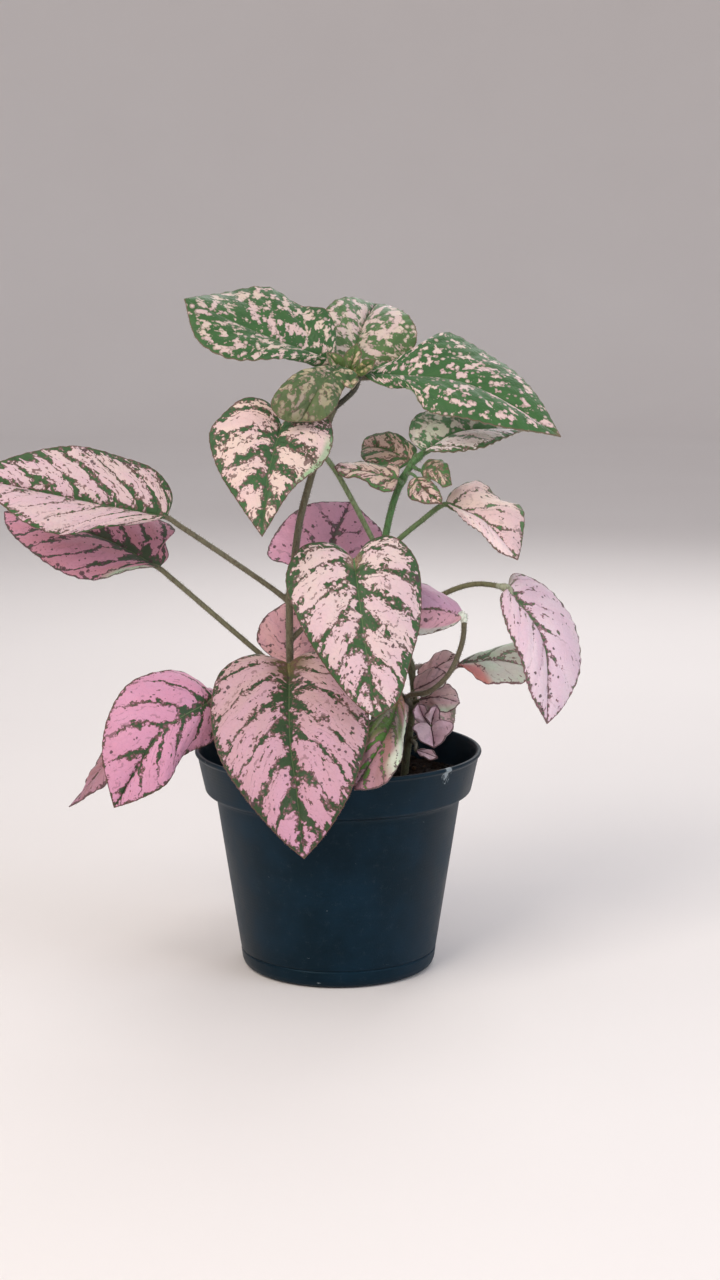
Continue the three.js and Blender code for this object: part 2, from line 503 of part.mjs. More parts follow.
const plant = new THREE.Group();
plant.add(named('pot', potGeometry(), POT_BLACK, ROUGHNESS.pot));
plant.add(named('soil', soilGeometry(), SOIL_BROWN, ROUGHNESS.soil));
for (const [name, stem] of Object.entries(STEMS)) {
  plant.add(named(name, stemGeometry(stem), stem.color, ROUGHNESS.stem));
}
for (const [name, leaf] of Object.entries(LEAVES)) {
  plant.add(named(name, bladeGeometry(leaf), leaf.color, ROUGHNESS.leaf));
}
plant.add(named('rosette', rosetteGeometry(), LEAF_MAUVE, ROUGHNESS.leaf));

export default plant;
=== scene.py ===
import math
from functools import cache

import bpy
import numpy as np
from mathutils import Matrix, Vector
from mathutils.kdtree import KDTree


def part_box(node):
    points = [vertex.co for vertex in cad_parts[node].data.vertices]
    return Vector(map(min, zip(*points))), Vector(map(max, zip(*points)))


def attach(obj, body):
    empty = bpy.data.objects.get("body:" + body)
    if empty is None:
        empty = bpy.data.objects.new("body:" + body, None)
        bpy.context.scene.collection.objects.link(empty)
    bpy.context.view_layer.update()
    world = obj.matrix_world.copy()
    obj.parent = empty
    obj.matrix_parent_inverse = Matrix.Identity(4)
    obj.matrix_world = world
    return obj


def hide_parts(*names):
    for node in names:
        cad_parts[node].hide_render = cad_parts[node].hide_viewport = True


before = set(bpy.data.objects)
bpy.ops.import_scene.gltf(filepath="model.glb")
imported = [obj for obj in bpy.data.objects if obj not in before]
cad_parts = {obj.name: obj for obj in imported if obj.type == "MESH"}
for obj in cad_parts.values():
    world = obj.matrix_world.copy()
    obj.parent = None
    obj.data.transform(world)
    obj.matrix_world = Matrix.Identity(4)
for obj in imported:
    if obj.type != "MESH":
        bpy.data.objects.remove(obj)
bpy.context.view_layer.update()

bl_info = {
    "name": "Potted Polka Dot Plant",
    "version": (1, 0, 0),
    "blender": (4, 5, 0),
    "location": "View3D > Sidebar > Plant",
    "description": "Leaves, stems, soil and nursery pot of a polka dot plant, around its packed solids",
    "category": "Add Mesh",
}

# The solids' own box, before any piece replaces them
POT_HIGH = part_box("pot")[1]

# One mm in m
MM = 0.001

# The camera: its eye in mm, its tilt, and its focal length and middle in pixels of the 720 x 1280 frame
EYE = (7.6, -780.0, 247.8)
PITCH = math.radians(9.66)
FOCAL = 2283
CENTRE = (360, 640)
LONG_SIDE = 1280
# The sensor's long side in mm, and the near clip in m
SENSOR = 36.0
NEAR_CLIP = 0.01

# The studio: every light's place and size in m, what sets its power, and its colour
LIGHTS = {
    "key light": ((-0.55, -0.75, 0.85), 0.7, "key_power", "FFF6EC"),
    "fill light": ((0.75, -0.45, 0.45), 0.6, "fill_power", "EAF2FF"),
    "back light": ((0.2, 0.8, 0.7), 0.6, "fill_power", "FFFFFF"),
}
LIT_POINT = (0, 0, 0.12)
# The backdrop, in mm: a round floor that curves up into a wall
BACKDROP_FLOOR = 2400
BACKDROP_CURVE = 600
BACKDROP_HEIGHT = 3200
BACKDROP_TURNS = (0.1, 1.57, 12)
BACKDROP_SIDES = 96

# How every blade is shaped, in mm, as its solid is
VEIN_SWEEP = 1.8
CAMBER = 0.1
WAVE = 0.7
WAVES = 2
# How far apart in s and v a normal is measured
NORMAL_REACH = 0.08

# Every leaf as it hangs, as (column, row, depth in mm): points along its rib from base to tip, then points
# along its left and its right edge between them. Left and right are as seen from above with the tip up.
LEAVES = {
    "leaf_top_left": (
        [(336, 362, -6), (262, 334, -11), (184, 299, -14)],
        [(318, 367, -9), (303, 362, -12), (268, 358, -21), (225, 358, -24), (198, 342, -21)],
        [(334, 325, -2), (325, 309, 0), (300, 305, 4), (268, 289, 7), (225, 292, 3)]),
    "leaf_top_back": (
        [(350, 370, 4), (362, 328, 20), (376, 304, 42)],
        [(327, 354, 5), (321, 325, 13), (331, 304, 24), (352, 298, 32)],
        [(385, 364, 7), (412, 350, 10), (417, 335, 12), (411, 320, 17), (395, 307, 28)]),
    "leaf_top_right": (
        [(362, 373, -5), (465, 383, -8), (561, 437, -19)],
        [(380, 364, -4), (402, 356, 0), (422, 345, 6), (447, 332, 12), (500, 362, 8), (538, 398, -6)],
        [(371, 381, -8), (390, 388, -9), (412, 389, -13), (428, 411, -20), (470, 421, -25),
         (525, 430, -24)]),
    "leaf_top_front": (
        [(338, 366, -10), (318, 390, -21), (300, 422, -24)],
        [(357, 376, -11), (344, 388, -16), (335, 408, -21), (322, 420, -24)],
        [(302, 370, -17), (284, 384, -22), (271, 404, -27), (281, 419, -26)]),
    "leaf_second_right": (
        [(424, 452, 0), (455, 433, 2), (526, 430, 6)],
        [(410, 438, 4), (413, 420, 8), (430, 410, 12), (480, 412, 14)],
        [(435, 452, -6), (460, 450, -9), (484, 449, -9), (505, 437, -3)]),
    "leaf_upper_heart": (
        [(281, 426, -17), (267, 480, -32), (262, 537, -42)],
        [(300, 410, -14), (327, 418, -16), (333, 440, -20), (322, 464, -26), (290, 493, -35)],
        [(268, 403, -15), (245, 398, -16), (222, 415, -18), (210, 432, -20), (216, 465, -27),
         (240, 505, -36)]),
    "leaf_shoot_back": (
        [(411, 462, 3), (388, 450, 9), (362, 446, 18)],
        [(396, 470, 3), (372, 466, 5), (362, 458, 11)],
        [(417, 450, 6), (400, 436, 12), (378, 433, 17), (366, 438, 19)]),
    "leaf_shoot_left": (
        [(398, 479, -9), (368, 472, -12), (334, 467, -15)],
        [(393, 491, -12), (384, 492, -14), (362, 480, -16), (343, 477, -16)],
        [(398, 465, -6), (375, 465, -6), (350, 462, -9), (340, 463, -13)]),
    "leaf_shoot_right": (
        [(421, 470, -8), (436, 468, -12), (452, 485, -16)],
        [(428, 462, -4), (441, 459, -6), (448, 468, -11)],
        [(424, 478, -12), (436, 482, -15), (444, 487, -17)]),
    "leaf_shoot_front": (
        [(416, 477, -13), (423, 488, -18), (442, 504, -24)],
        [(430, 480, -16), (438, 489, -20), (442, 497, -23)],
        [(409, 483, -15), (408, 495, -19), (412, 501, -22), (428, 503, -24)]),
    "leaf_right_upper": (
        [(446, 503, -8), (483, 520, -14), (518, 560, -22)],
        [(452, 492, -2), (480, 482, 4), (502, 499, 2), (521, 508, -4), (522, 540, -14)],
        [(455, 511, -11), (478, 532, -18), (500, 552, -22)]),
    "leaf_far_left_upper": (
        [(167, 517, -20), (85, 501, -26), (-27, 478, -32)],
        [(140, 523, -24), (100, 528, -32), (60, 534, -38), (25, 524, -40), (-5, 499, -38)],
        [(172, 495, -17), (155, 470, -15), (115, 455, -16), (75, 447, -18), (30, 452, -22),
         (-5, 464, -27)]),
    "leaf_far_left_lower": (
        [(159, 567, -8), (100, 537, -4), (4, 512, 0)],
        [(138, 569, -12), (95, 580, -17), (55, 568, -17), (20, 543, -11), (6, 525, -5)],
        [(168, 556, -4), (165, 541, -2), (175, 530, 2), (150, 515, 6), (100, 505, 8), (40, 505, 6)]),
    "leaf_behind_centre": (
        [(325, 575, 8), (333, 540, 14), (350, 502, 24)],
        [(290, 566, 6), (268, 556, 8), (283, 523, 14), (312, 504, 20)],
        [(360, 565, 12), (382, 535, 16), (365, 514, 20)]),
    "leaf_centre_heart": (
        [(354, 561, -24), (362, 620, -36), (375, 718, -48)],
        [(370, 541, -22), (393, 537, -22), (416, 560, -24), (421, 615, -31), (410, 662, -40),
         (397, 702, -46)],
        [(335, 545, -22), (303, 546, -24), (286, 575, -27), (297, 617, -33), (330, 673, -41),
         (358, 706, -46)]),
    "leaf_front_heart": (
        [(289, 664, -19), (290, 740, -43), (297, 795, -56), (304, 859, -64)],
        [(312, 652, -17), (345, 668, -23), (367, 705, -33), (366, 745, -46), (350, 795, -59),
         (325, 835, -62)],
        [(255, 655, -18), (222, 670, -23), (211, 705, -31), (219, 756, -43), (245, 798, -53),
         (280, 838, -60)]),
    "leaf_low_left": (
        [(214, 699, -24), (163, 731, -38), (114, 808, -42)],
        [(222, 725, -23), (212, 741, -27), (183, 757, -36), (165, 785, -42), (140, 799, -44)],
        [(200, 683, -20), (174, 670, -22), (130, 683, -30), (108, 718, -36), (102, 755, -40),
         (108, 785, -42)]),
    "leaf_low_left_narrow": (
        [(114, 750, -30), (96, 776, -28), (69, 807, -26)],
        [(118, 770, -33), (105, 784, -33), (88, 797, -30)],
        [(103, 752, -28), (91, 774, -25), (80, 796, -25)]),
    "leaf_behind_stem": (
        [(290, 668, -3), (288, 635, 2), (289, 600, 6)],
        [(270, 655, 0), (257, 640, 2), (264, 619, 5)],
        [(312, 664, 0), (322, 645, 2), (308, 618, 5)]),
    "leaf_folded_right": (
        [(463, 615, -10), (435, 609, -16), (398, 612, -20)],
        [(455, 624, -13), (435, 632, -18), (412, 634, -21)],
        [(454, 601, -6), (435, 589, -4), (415, 584, -6), (400, 595, -14)]),
    "leaf_right_hanging": (
        [(508, 588, -3), (543, 640, -12), (547, 724, -20)],
        [(513, 574, 2), (535, 581, 6), (558, 599, 8), (576, 625, 6), (578, 672, -4), (563, 707, -14)],
        [(500, 598, -8), (508, 628, -16), (520, 662, -22), (533, 697, -23)]),
    "leaf_right_pale": (
        [(458, 664, 8), (495, 660, 7), (532, 668, 6)],
        [(475, 656, 12), (500, 647, 15), (518, 644, 14)],
        [(470, 672, 4), (488, 684, 0), (508, 684, -1), (524, 682, 1)]),
    "leaf_curl_upper": (
        [(424, 682, -2), (436, 668, 0), (458, 656, 2)],
        [(418, 672, 2), (432, 657, 5), (447, 651, 5)],
        [(436, 684, -6), (450, 676, -6), (459, 664, -2)]),
    "leaf_curl_middle": (
        [(414, 690, -9), (428, 684, -12), (446, 672, -13)],
        [(416, 678, -7), (424, 671, -7), (436, 668, -9)],
        [(422, 697, -13), (436, 692, -16), (446, 682, -15)]),
    "leaf_curl_lower": (
        [(419, 700, -9), (438, 697, -12), (460, 703, -16)],
        [(430, 689, -7), (446, 683, -7), (456, 693, -10)],
        [(424, 708, -12), (440, 713, -16), (452, 710, -17)]),
    "leaf_over_rim": (
        [(400, 693, -16), (386, 735, -38), (354, 790, -54)],
        [(404, 708, -20), (404, 738, -36), (398, 768, -51), (385, 784, -55), (370, 789, -56)],
        [(385, 705, -24), (366, 728, -36), (356, 762, -46)]),
    "leaf_tiny": (
        [(416, 750, -21), (426, 753, -23), (438, 758, -25)],
        [(424, 749, -22), (433, 751, -23)],
        [(422, 757, -24), (431, 760, -25)]),
    "leaf_back_middle": (
        [(372, 600, 8), (345, 640, 30), (330, 700, 44)],
        [(352, 590, 14), (318, 612, 24), (308, 655, 36)],
        [(398, 605, 8), (405, 640, 20), (378, 682, 36)]),
    "leaf_back_low": (
        [(280, 685, 12), (262, 700, 42), (245, 770, 70)],
        [(262, 678, 16), (225, 690, 34), (205, 718, 56)],
        [(300, 690, 18), (318, 700, 36), (306, 702, 52), (285, 745, 66)]),
    "leaf_back_upper": (
        [(308, 452, 4), (280, 455, 24), (245, 480, 42)],
        [(290, 470, 6), (255, 482, 18), (240, 484, 32)],
        [(318, 440, 16), (300, 430, 36), (262, 445, 46)]),
    "leaf_back_top_right": (
        [(392, 376, 12), (435, 374, 30), (490, 392, 46)],
        [(405, 362, 20), (440, 352, 36), (475, 367, 46)],
        [(408, 382, 10), (450, 402, 20), (485, 405, 36)]),
    "leaf_back_left": (
        [(228, 700, 10), (185, 712, 28), (148, 740, 44)],
        [(212, 725, 12), (172, 748, 22), (150, 752, 36)],
        [(222, 690, 26), (195, 690, 40), (160, 706, 48)]),
    "leaf_back_right": (
        [(412, 705, 10), (425, 704, 42), (440, 775, 70)],
        [(398, 698, 14), (385, 702, 38), (398, 703, 54), (412, 750, 68)],
        [(428, 700, 16), (452, 703, 38), (456, 712, 55)]),
    "leaf_back_short": (
        [(387, 586, 12), (392, 574, 27), (398, 564, 46)],
        [(370, 592, 13), (350, 580, 30), (372, 566, 42)],
        [(398, 594, 12), (416, 582, 26), (412, 568, 40)]),
}

# The young shoot low at the right, and the tiny leaves at the tip of the main stem, given as the leaves are
ROSETTE = [
    ([(430, 726, -16), (423, 715, -16), (418, 703, -18)], [(420, 723, -17), (412, 712, -19)],
     [(430, 717, -17), (426, 707, -19)]),
    ([(431, 726, -16), (433, 716, -16), (437, 705, -18)], [(426, 717, -18), (428, 709, -19)],
     [(440, 721, -17), (440, 712, -18)]),
    ([(431, 728, -17), (433, 737, -18), (434, 748, -22)], [(440, 720, -17), (453, 724, -19), (447, 738, -22)],
     [(423, 722, -18), (412, 728, -21), (419, 739, -22)]),
]
CROWN = [
    ([(349, 374, -4), (353, 360, -3), (357, 343, 0)], [(344, 366, -5), (345, 354, -3)],
     [(357, 368, -5), (362, 355, -3)]),
    ([(348, 374, -6), (338, 366, -9), (327, 352, -12)], [(340, 374, -8), (329, 366, -12)],
     [(347, 364, -7), (338, 354, -10)]),
    ([(350, 375, -5), (362, 369, -8), (376, 360, -11)], [(356, 366, -6), (367, 359, -9)],
     [(360, 377, -7), (371, 370, -11)]),
    ([(349, 375, -8), (350, 380, -13), (352, 389, -19)], [(356, 376, -9), (359, 381, -14)],
     [(341, 377, -10), (342, 383, -15)]),
]

# Every stem: where it stands in the soil in mm, its way up, its joints, and the way of every leaf's stalk
STEMS = {
    "stem_main": {
        "foot": (-16, 1),
        "path": [
            (291, 700, -8), (290, 664, -12), (290, 596, -14), (294, 562, -14), (300, 520, -12),
            (312, 474, -10), (327, 427, -8), (333, 408, -7), (341, 378, -4),
        ],
        "joints": [(290, 690, -9), (290, 598, -14), (333, 408, -7), (341, 379, -4)],
        "stalks": {
            "leaf_top_left": [(341, 379, -4), (339, 371, -5)],
            "leaf_top_back": [(341, 379, -4), (346, 374, 0)],
            "leaf_top_front": [(341, 379, -4), (340, 373, -7)],
            "leaf_top_right": [(333, 408, -7), (343, 401, -8), (355, 389, -8)],
            "leaf_far_left_upper": [(290, 602, -14), (270, 587, -15), (225, 556, -17), (180, 526, -19)],
            "leaf_far_left_lower": [(290, 679, -10), (272, 664, -11), (225, 624, -10), (170, 577, -8)],
            "leaf_front_heart": [(290, 692, -9), (290, 678, -14)],
            "leaf_low_left": [(290, 692, -9), (255, 690, -11), (230, 695, -17)],
            "leaf_low_left_narrow": [(291, 704, -7), (240, 712, -4), (180, 728, -14), (135, 742, -25)],
            "leaf_behind_stem": [(290, 692, -9), (290, 680, -5)],
            "leaf_behind_centre": [(290, 600, -14), (304, 597, -4), (320, 585, 5)],
            "leaf_back_middle": [(290, 640, -13), (320, 615, -6), (355, 602, 3)],
            "leaf_back_low": [(291, 704, -7), (286, 694, 4)],
            "leaf_back_upper": [(317, 458, -9), (314, 456, -2)],
            "leaf_back_left": [(291, 704, -7), (262, 704, 2)],
            "leaf_back_top_right": [(341, 379, -4), (362, 378, 5)],
        },
    },
    "stem_shoot": {
        "foot": (11, 8),
        "path": [
            (378, 680, 6), (381, 600, 0), (385, 540, -4), (397, 492, -4), (411, 465, -3), (419, 456, -2),
        ],
        "joints": [(381, 556, -3), (402, 480, -4), (419, 457, -2)],
        "stalks": {
            "leaf_upper_heart": [(381, 556, -3), (352, 500, -8), (330, 463, -12), (305, 437, -14)],
            "leaf_right_upper": [(381, 556, -3), (397, 541, -5), (420, 522, -6)],
            "leaf_centre_heart": [(381, 560, -3), (370, 560, -13)],
            "leaf_shoot_back": [(408, 470, -3), (411, 468, 0)],
            "leaf_shoot_left": [(402, 482, -4), (401, 482, -7)],
            "leaf_shoot_right": [(412, 466, -3), (417, 469, -6)],
            "leaf_shoot_front": [(406, 474, -3), (412, 474, -9)],
            "leaf_second_right": [(419, 457, -2), (422, 454, -1)],
            "leaf_back_short": [(381, 592, 0), (385, 588, 6)],
        },
    },
    "stem_low": {
        "foot": (23, 0),
        "path": [(412, 715, -3), (414, 694, -4), (410, 660, -2)],
        "joints": [(413, 706, -4), (411, 668, -2)],
        "stalks": {
            "leaf_folded_right": [
                (413, 706, -4), (407, 700, -11), (411, 695, -19), (430, 691, -23), (448, 675, -23),
                (460, 650, -19), (464, 630, -14),
            ],
            "leaf_right_hanging": [
                (410, 664, -2), (408, 640, 0), (424, 608, 2), (448, 592, 0), (475, 584, -1), (498, 586, -2),
            ],
            "leaf_right_pale": [(411, 668, -2), (425, 666, 12), (445, 665, 12)],
            "leaf_curl_upper": [(413, 690, -4), (419, 686, -2)],
            "leaf_curl_middle": [(413, 704, -4), (411, 697, -8)],
            "leaf_curl_lower": [(413, 706, -4), (415, 703, -7)],
            "leaf_over_rim": [(413, 706, -4), (404, 698, -12)],
            "leaf_back_right": [(412, 714, -3), (412, 710, 4)],
            "leaf_tiny": [(412, 740, -2), (416, 744, -12)],
            "rosette": [(412, 740, -2), (421, 734, -8)],
        },
    },
}

# The bud that the rosette's stalk ends in
BUD = (430.6, 727, -16.8)

# The finish of a leaf: the ground colour and the green at its base and its tip, the half widths in mm of the
# green along the rib and the veins and of the green margin, how much of the blade the green covers, and the
# shares of pale islands in the green, of dark dots on the ground and of dark lines on the veins.
LOOK_FIELDS = ("ground", "ground_tip", "green", "green_tip", "rib", "vein", "margin", "cover", "islands",
               "dots", "lines")
LOOKS = {
    "splashed": ("D4C3B5", "D2C1B4", "396234", "3D6735", 1.0, 0.5, 0.9, 1.0, 0.68, 0.0, 0.1),
    "splashed_green": ("DECABE", "DEC8BE", "3A6635", "3E6B37", 1.0, 0.5, 0.9, 1.0, 0.50, 0.0, 0.1),
    "splashed_light": ("CDC2AA", "DCCAC6", "5E7A46", "4A7548", 0.9, 0.4, 1.6, 0.9, 0.94, 0.0, 0.2),
    # olive: a pale base that turns dark olive at the tip; the dark tip is partly the leaf's own colour and
    # partly painted shade
    "olive": ("C0B694", "787E56", "3A5E30", "67734A", 0.9, 0.5, 0.6, 0.9, 0.84, 0.0, 0.9),
    # half_green and half_lilac: the second right leaf's own grey-green and lilac-white, both made paler as
    # painted light where the leaf lies in shade
    "half_green": ("D2DAC6", "DCDACF", "5A865C", "628C60", 0.9, 0.5, 0.8, 0.8, 1.0, 0.0, 0.1),
    "half_lilac": ("F6F0EA", "F4EAEA", "4F7A4C", "588356", 0.8, 0.5, 0.9, 0.0, 0.30, 0.0, 0.8),
    "heart": ("DECAC4", "DDC0C5", "385A32", "3C5F35", 3.0, 0.72, 1.9, 0.0, 0.5, 0.34, 0.85),
    "heart_pink": ("C4A6A2", "CB96AF", "2E4825", "31492A", 4.0, 0.62, 1.1, 0.0, 0.4, 0.44, 0.75),
    "heart_upper": ("E4CDC3", "E0C8BC", "3A6039", "3F683A", 1.8, 0.74, 1.4, 0.0, 0.55, 0.10, 1.0),
    "lilac": ("D194AE", "D397B4", "324C2E", "384F31", 1.8, 0.32, 0.3, 0.0, 0.15, 0.30, 0.65),
    "far_left": ("D6C0BB", "D6BCC0", "3C5D36", "416339", 2.2, 0.74, 2.0, 0.0, 0.5, 0.25, 1.0),
    "far_left_low": ("D6BEBA", "D6BABE", "3A6234", "406838", 1.8, 0.3, 1.0, 0.0, 0.4, 0.2, 0.7),
    "dusky": ("C08490", "C68A9C", "40543A", "525048", 2.4, 0.5, 0.3, 0.0, 0.05, 0.50, 0.45),
    # mauve: the leaf's own mauve, made paler as painted light where other leaves shade it
    "mauve": ("D8A1BA", "DAA6C2", "66705C", "80707A", 1.4, 0.26, 0.2, 0.0, 0.0, 0.42, 0.25),
    "brown_mauve": ("D4A4A6", "D2A2A8", "75604E", "705C50", 0.8, 0.2, 0.3, 0.0, 0.1, 0.35, 0.5),
    "fine_veined": ("E4CCC0", "E2C7C2", "587E48", "5C8052", 0.5, 0.28, 0.9, 0.0, 0.3, 0.10, 0.55),
    "fine_plain": ("ECD8D4", "EBD4D4", "587E48", "5C8052", 0.4, 0.12, 0.15, 0.0, 0.1, 0.05, 0.35),
    "pale": ("E4CDD5", "E6CFD9", "4F6C46", "5E6E55", 1.35, 0.22, 0.5, 0.0, 0.12, 0.30, 0.18),
    "pale_green": ("B6D0B8", "BAD2BC", "4F7B58", "8AA48A", 1.1, 0.5, 0.4, 0.0, 0.2, 0.0, 0.2),
    "pale_pink": ("D8E8DA", "D2E4D4", "8FA38C", "9BAC98", 0.4, 0.2, 0.2, 0.0, 0.2, 0.0, 0.25),
    "folded_lilac": ("C49AB2", "BE96AE", "4C5A3C", "5A5F48", 0.3, 0.0, 0.1, 0.0, 0.0, 0.05, 0.15),
    "folded_pink": ("D2A0A6", "CC989E", "4C5A3C", "5A5F48", 0.4, 0.12, 0.2, 0.0, 0.1, 0.62, 0.5),
    "shoot": ("C8B29E", "DEC6BA", "548046", "547C48", 0.55, 0.28, 0.9, 0.0, 0.30, 0.05, 0.9),
    "shoot_dark": ("C4AE98", "CBB6A4", "4C7846", "4C7846", 0.8, 0.36, 1.7, 0.0, 0.45, 0.1, 1.0),
    "shoot_small": ("C6B498", "D2BCA8", "4F7843", "4C7642", 0.8, 0.4, 1.0, 0.05, 0.70, 0.0, 0.8),
    # dusky_grey: the curled leaves' own grey-pink, made paler as painted light where they lie in shade
    "dusky_grey": ("D2AEB0", "CAB0AC", "757762", "7E7A68", 0.30, 0.10, 0.1, 0.0, 0.1, 0.1, 0.25),
    "narrow_dusk": ("A2787A", "A17684", "6A6450", "75705E", 0.5, 0.12, 0.3, 0.0, 0.1, 0.1, 0.3),
    # curl_pink: a near-white pink, brighter than the leaf's own colour, as painted light on a curled leaf
    # that lies in shade
    "curl_pink": ("F8C8CA", "DCC2C2", "757762", "7E7A68", 0.35, 0.12, 0.1, 0.0, 0.1, 0.25, 0.3),
    "rosette": ("C8AEB4", "CCB2BA", "7A6470", "806A74", 0.22, 0.0, 0.0, 0.0, 0.0, 0.0, 0.12),
    "rim_left": ("8C6549", "A2777E", "4C7A2C", "4F762E", 1.6, 0.5, 0.2, 0.0, 0.2, 0.4, 0.4),
    "rim_right": ("7E6442", "9E777C", "4A7C2A", "4F7A2E", 2.6, 0.8, 0.4, 0.0, 0.2, 0.4, 0.4),
    "back_heart": ("E0BCC2", "DAA8BC", "42703F", "46744A", 2.2, 0.66, 0.9, 0.0, 0.3, 0.4, 0.9),
    "crown": ("B8AE72", "C8BE90", "5F7434", "4F7038", 0.4, 0.3, 0.4, 0.6, 0.9, 0.0, 0.3),
}

# The look of every leaf, under the material slot that the record gives it
LEAF_LOOKS = {
    "leaf_green": {
        "leaf_top_left": "splashed", "leaf_top_back": "splashed_light", "leaf_top_right": "splashed_green",
        "leaf_top_front": "olive", "leaf_second_right": "half_green", "leaf_shoot_back": "shoot_dark",
        "leaf_shoot_right": "shoot_small", "leaf_back_top_right": "splashed",
    },
    "leaf_pink": {
        "leaf_upper_heart": "heart_upper", "leaf_shoot_left": "shoot", "leaf_shoot_front": "shoot",
        "leaf_right_upper": "fine_veined", "leaf_far_left_upper": "far_left_low",
        "leaf_centre_heart": "heart", "leaf_front_heart": "heart_pink", "leaf_low_left": "lilac",
        "leaf_folded_right": "folded_pink", "leaf_curl_upper": "curl_pink",
        "leaf_back_middle": "back_heart", "leaf_back_low": "heart_pink", "leaf_back_upper": "heart_upper",
        "leaf_back_left": "lilac", "leaf_back_right": "back_heart", "leaf_back_short": "back_heart",
    },
    "leaf_mauve": {
        "leaf_far_left_lower": "dusky", "leaf_behind_centre": "mauve",
        "leaf_low_left_narrow": "narrow_dusk", "leaf_behind_stem": "brown_mauve",
        "leaf_curl_middle": "dusky_grey", "leaf_curl_lower": "dusky_grey", "leaf_over_rim": "rim_left",
        "leaf_tiny": "rosette",
    },
    "leaf_pale": {
        "leaf_right_hanging": "pale", "leaf_right_pale": "pale_green",
    },
}

# The look of a leaf's right half, where it differs from the left
RIGHT_HALVES = {
    "leaf_second_right": "half_lilac", "leaf_right_pale": "pale_pink", "leaf_folded_right": "folded_lilac",
    "leaf_over_rim": "rim_right", "leaf_far_left_upper": "far_left", "leaf_right_upper": "fine_plain",
}

# Patches of another colour, such as a pale rolled margin: the side, the start from the rib to the edge, both
# ends along the leaf, the colour
PATCHES = {
    "leaf_upper_heart": [(-1, 0.84, 0.34, 0.74, "9DBE90")],
    "leaf_over_rim": [(1, -0.1, 0.36, 0.7, "53702C"), (-1, 0.0, 0.4, 0.68, "5A6E34"),
                      (-1, 0.56, 0.05, 0.8, "C8D8BC")],
    "leaf_folded_right": [(-1, 0.72, 0.0, 1.1, "B4C2AC")],
    "leaf_right_pale": [(-1, 0.78, 0.2, 1.1, "A8BCA8"), (1, 0.0, -0.1, 0.5, "EEA49C")],
    "leaf_right_hanging": [(-1, 0.2, -0.1, 0.15, "9CA690")],
    "leaf_far_left_lower": [(-1, 0.6, 0.02, 0.34, "A9BFA0")],
    "leaf_top_right": [(1, 0.0, 0.965, 1.2, "B4546A"), (-1, 0.0, 0.965, 1.2, "B4546A")],
    "leaf_curl_middle": [(1, 0.7, 0.1, 1.1, "B9BFAC")],
    "leaf_curl_lower": [(1, 0.6, 0.1, 1.1, "B4BCA8")],
}
PATCH_EDGE = 3
PATCH_FADE = 12

# Stains round a leaf's base: how far they reach in mm, and their colour
STAINS = {
    "leaf_front_heart": (9.5, "6A5A38"), "leaf_over_rim": (12.0, "B07E54"),
    "leaf_centre_heart": (4.0, "A08A70"),
}
STAIN_STRENGTH = 1.4

# The slot and the colour of every stem, and the colours of the leaf stalks that differ from it
STEM_FINISH = {
    "stem_main": ("stem_brown_green", "646049"), "stem_shoot": ("stem_green", "4E7D47"),
    "stem_low": ("stem_brown_green", "5F6244"),
}
STALK_COLOURS = {
    "leaf_far_left_upper": "68644F", "leaf_far_left_lower": "6C6A52", "leaf_top_right": "3B3A30",
    "leaf_upper_heart": "7E9468", "leaf_right_upper": "5E7A4C", "leaf_front_heart": "6E6A3A",
    "leaf_folded_right": "5C5540", "leaf_right_hanging": "6B6A48", "leaf_right_pale": "7A5F56",
}

# The colour of the last few mm of a stalk, where it is paler than the rest
STALK_ENDS = {"leaf_folded_right": "E4ECDE", "leaf_right_hanging": "A9AE93"}
STALK_END_LENGTH = 4

# Leaf relief and grid, in mm and in shares of the leaf
LINE_STEPS = 40
BLADE_STEP = 0.85
FEWEST_ROWS = 18
MOST_ROWS = 76
FEWEST_COLUMNS = 12
MOST_COLUMNS = 52
WIDEST_AT = 0.3
BLADE_CREASE = math.radians(50)
VEIN_SPACING = 8.5
FEWEST_VEINS = 4
MOST_VEINS = 7
VEIN_STAGGER = 0.16
STAGGER_CHANGE = 8
VEIN_START = 0.37
VEIN_LEAN = 0.2
VEIN_BEND = 1.3
LEAN_FADE = 2.2
RIB_SINK = 0.32
RIB_SINK_WIDTH = 0.9
PUFF = 0.42
PUFF_WIDTH = 1.4
CRIMP = 0.28
CRIMP_LENGTH = 4.6
NOTCH = 0.22
NOTCH_LENGTH = 2.7
NOTCH_LEVEL = 0.6
# How the rib, the side veins and the margin thin out towards the tip and outwards
RIB_END = 0.14
RIB_THINNING = 0.9
VEIN_WIDTH_AT_BASE = 1.3
VEIN_LOSS_OUTWARDS = 0.6
VEIN_LOSS_TO_TIP = 0.3
BORDER_END = 0.4
BORDER_FADE = 4
HALF_BLEND = 2.5
TIP_BLEND = 1.4

# Pot and soil, in mm
POT_SIDES = 144
POT_ROUNDING = 0.5
ROUNDING_SHARE = 0.45
POT_CREASE = math.radians(28)
RIM_RADIUS = POT_HIGH.x / MM
POT_HEIGHT = POT_HIGH.z / MM
RIM_HEIGHT = 15
RIM_TAPER = 3.5
RIM_FOOT_RADIUS = RIM_RADIUS - RIM_TAPER
SHELF_HEIGHT = POT_HEIGHT - RIM_HEIGHT
BODY_TOP_RADIUS = 42.6
FOOT_RADIUS = 31.5
FOOT_LIFT = 0.4
FOOT_GROOVE_HEIGHT = 6.2
WALL = 1.2
FLOOR = 1.5
DRAIN_HOLES = 6
DRAIN_RADIUS = 3.2
DRAIN_CIRCLE = 24
DRAIN_SIDES = 32
DRAIN_DEPTH = 4
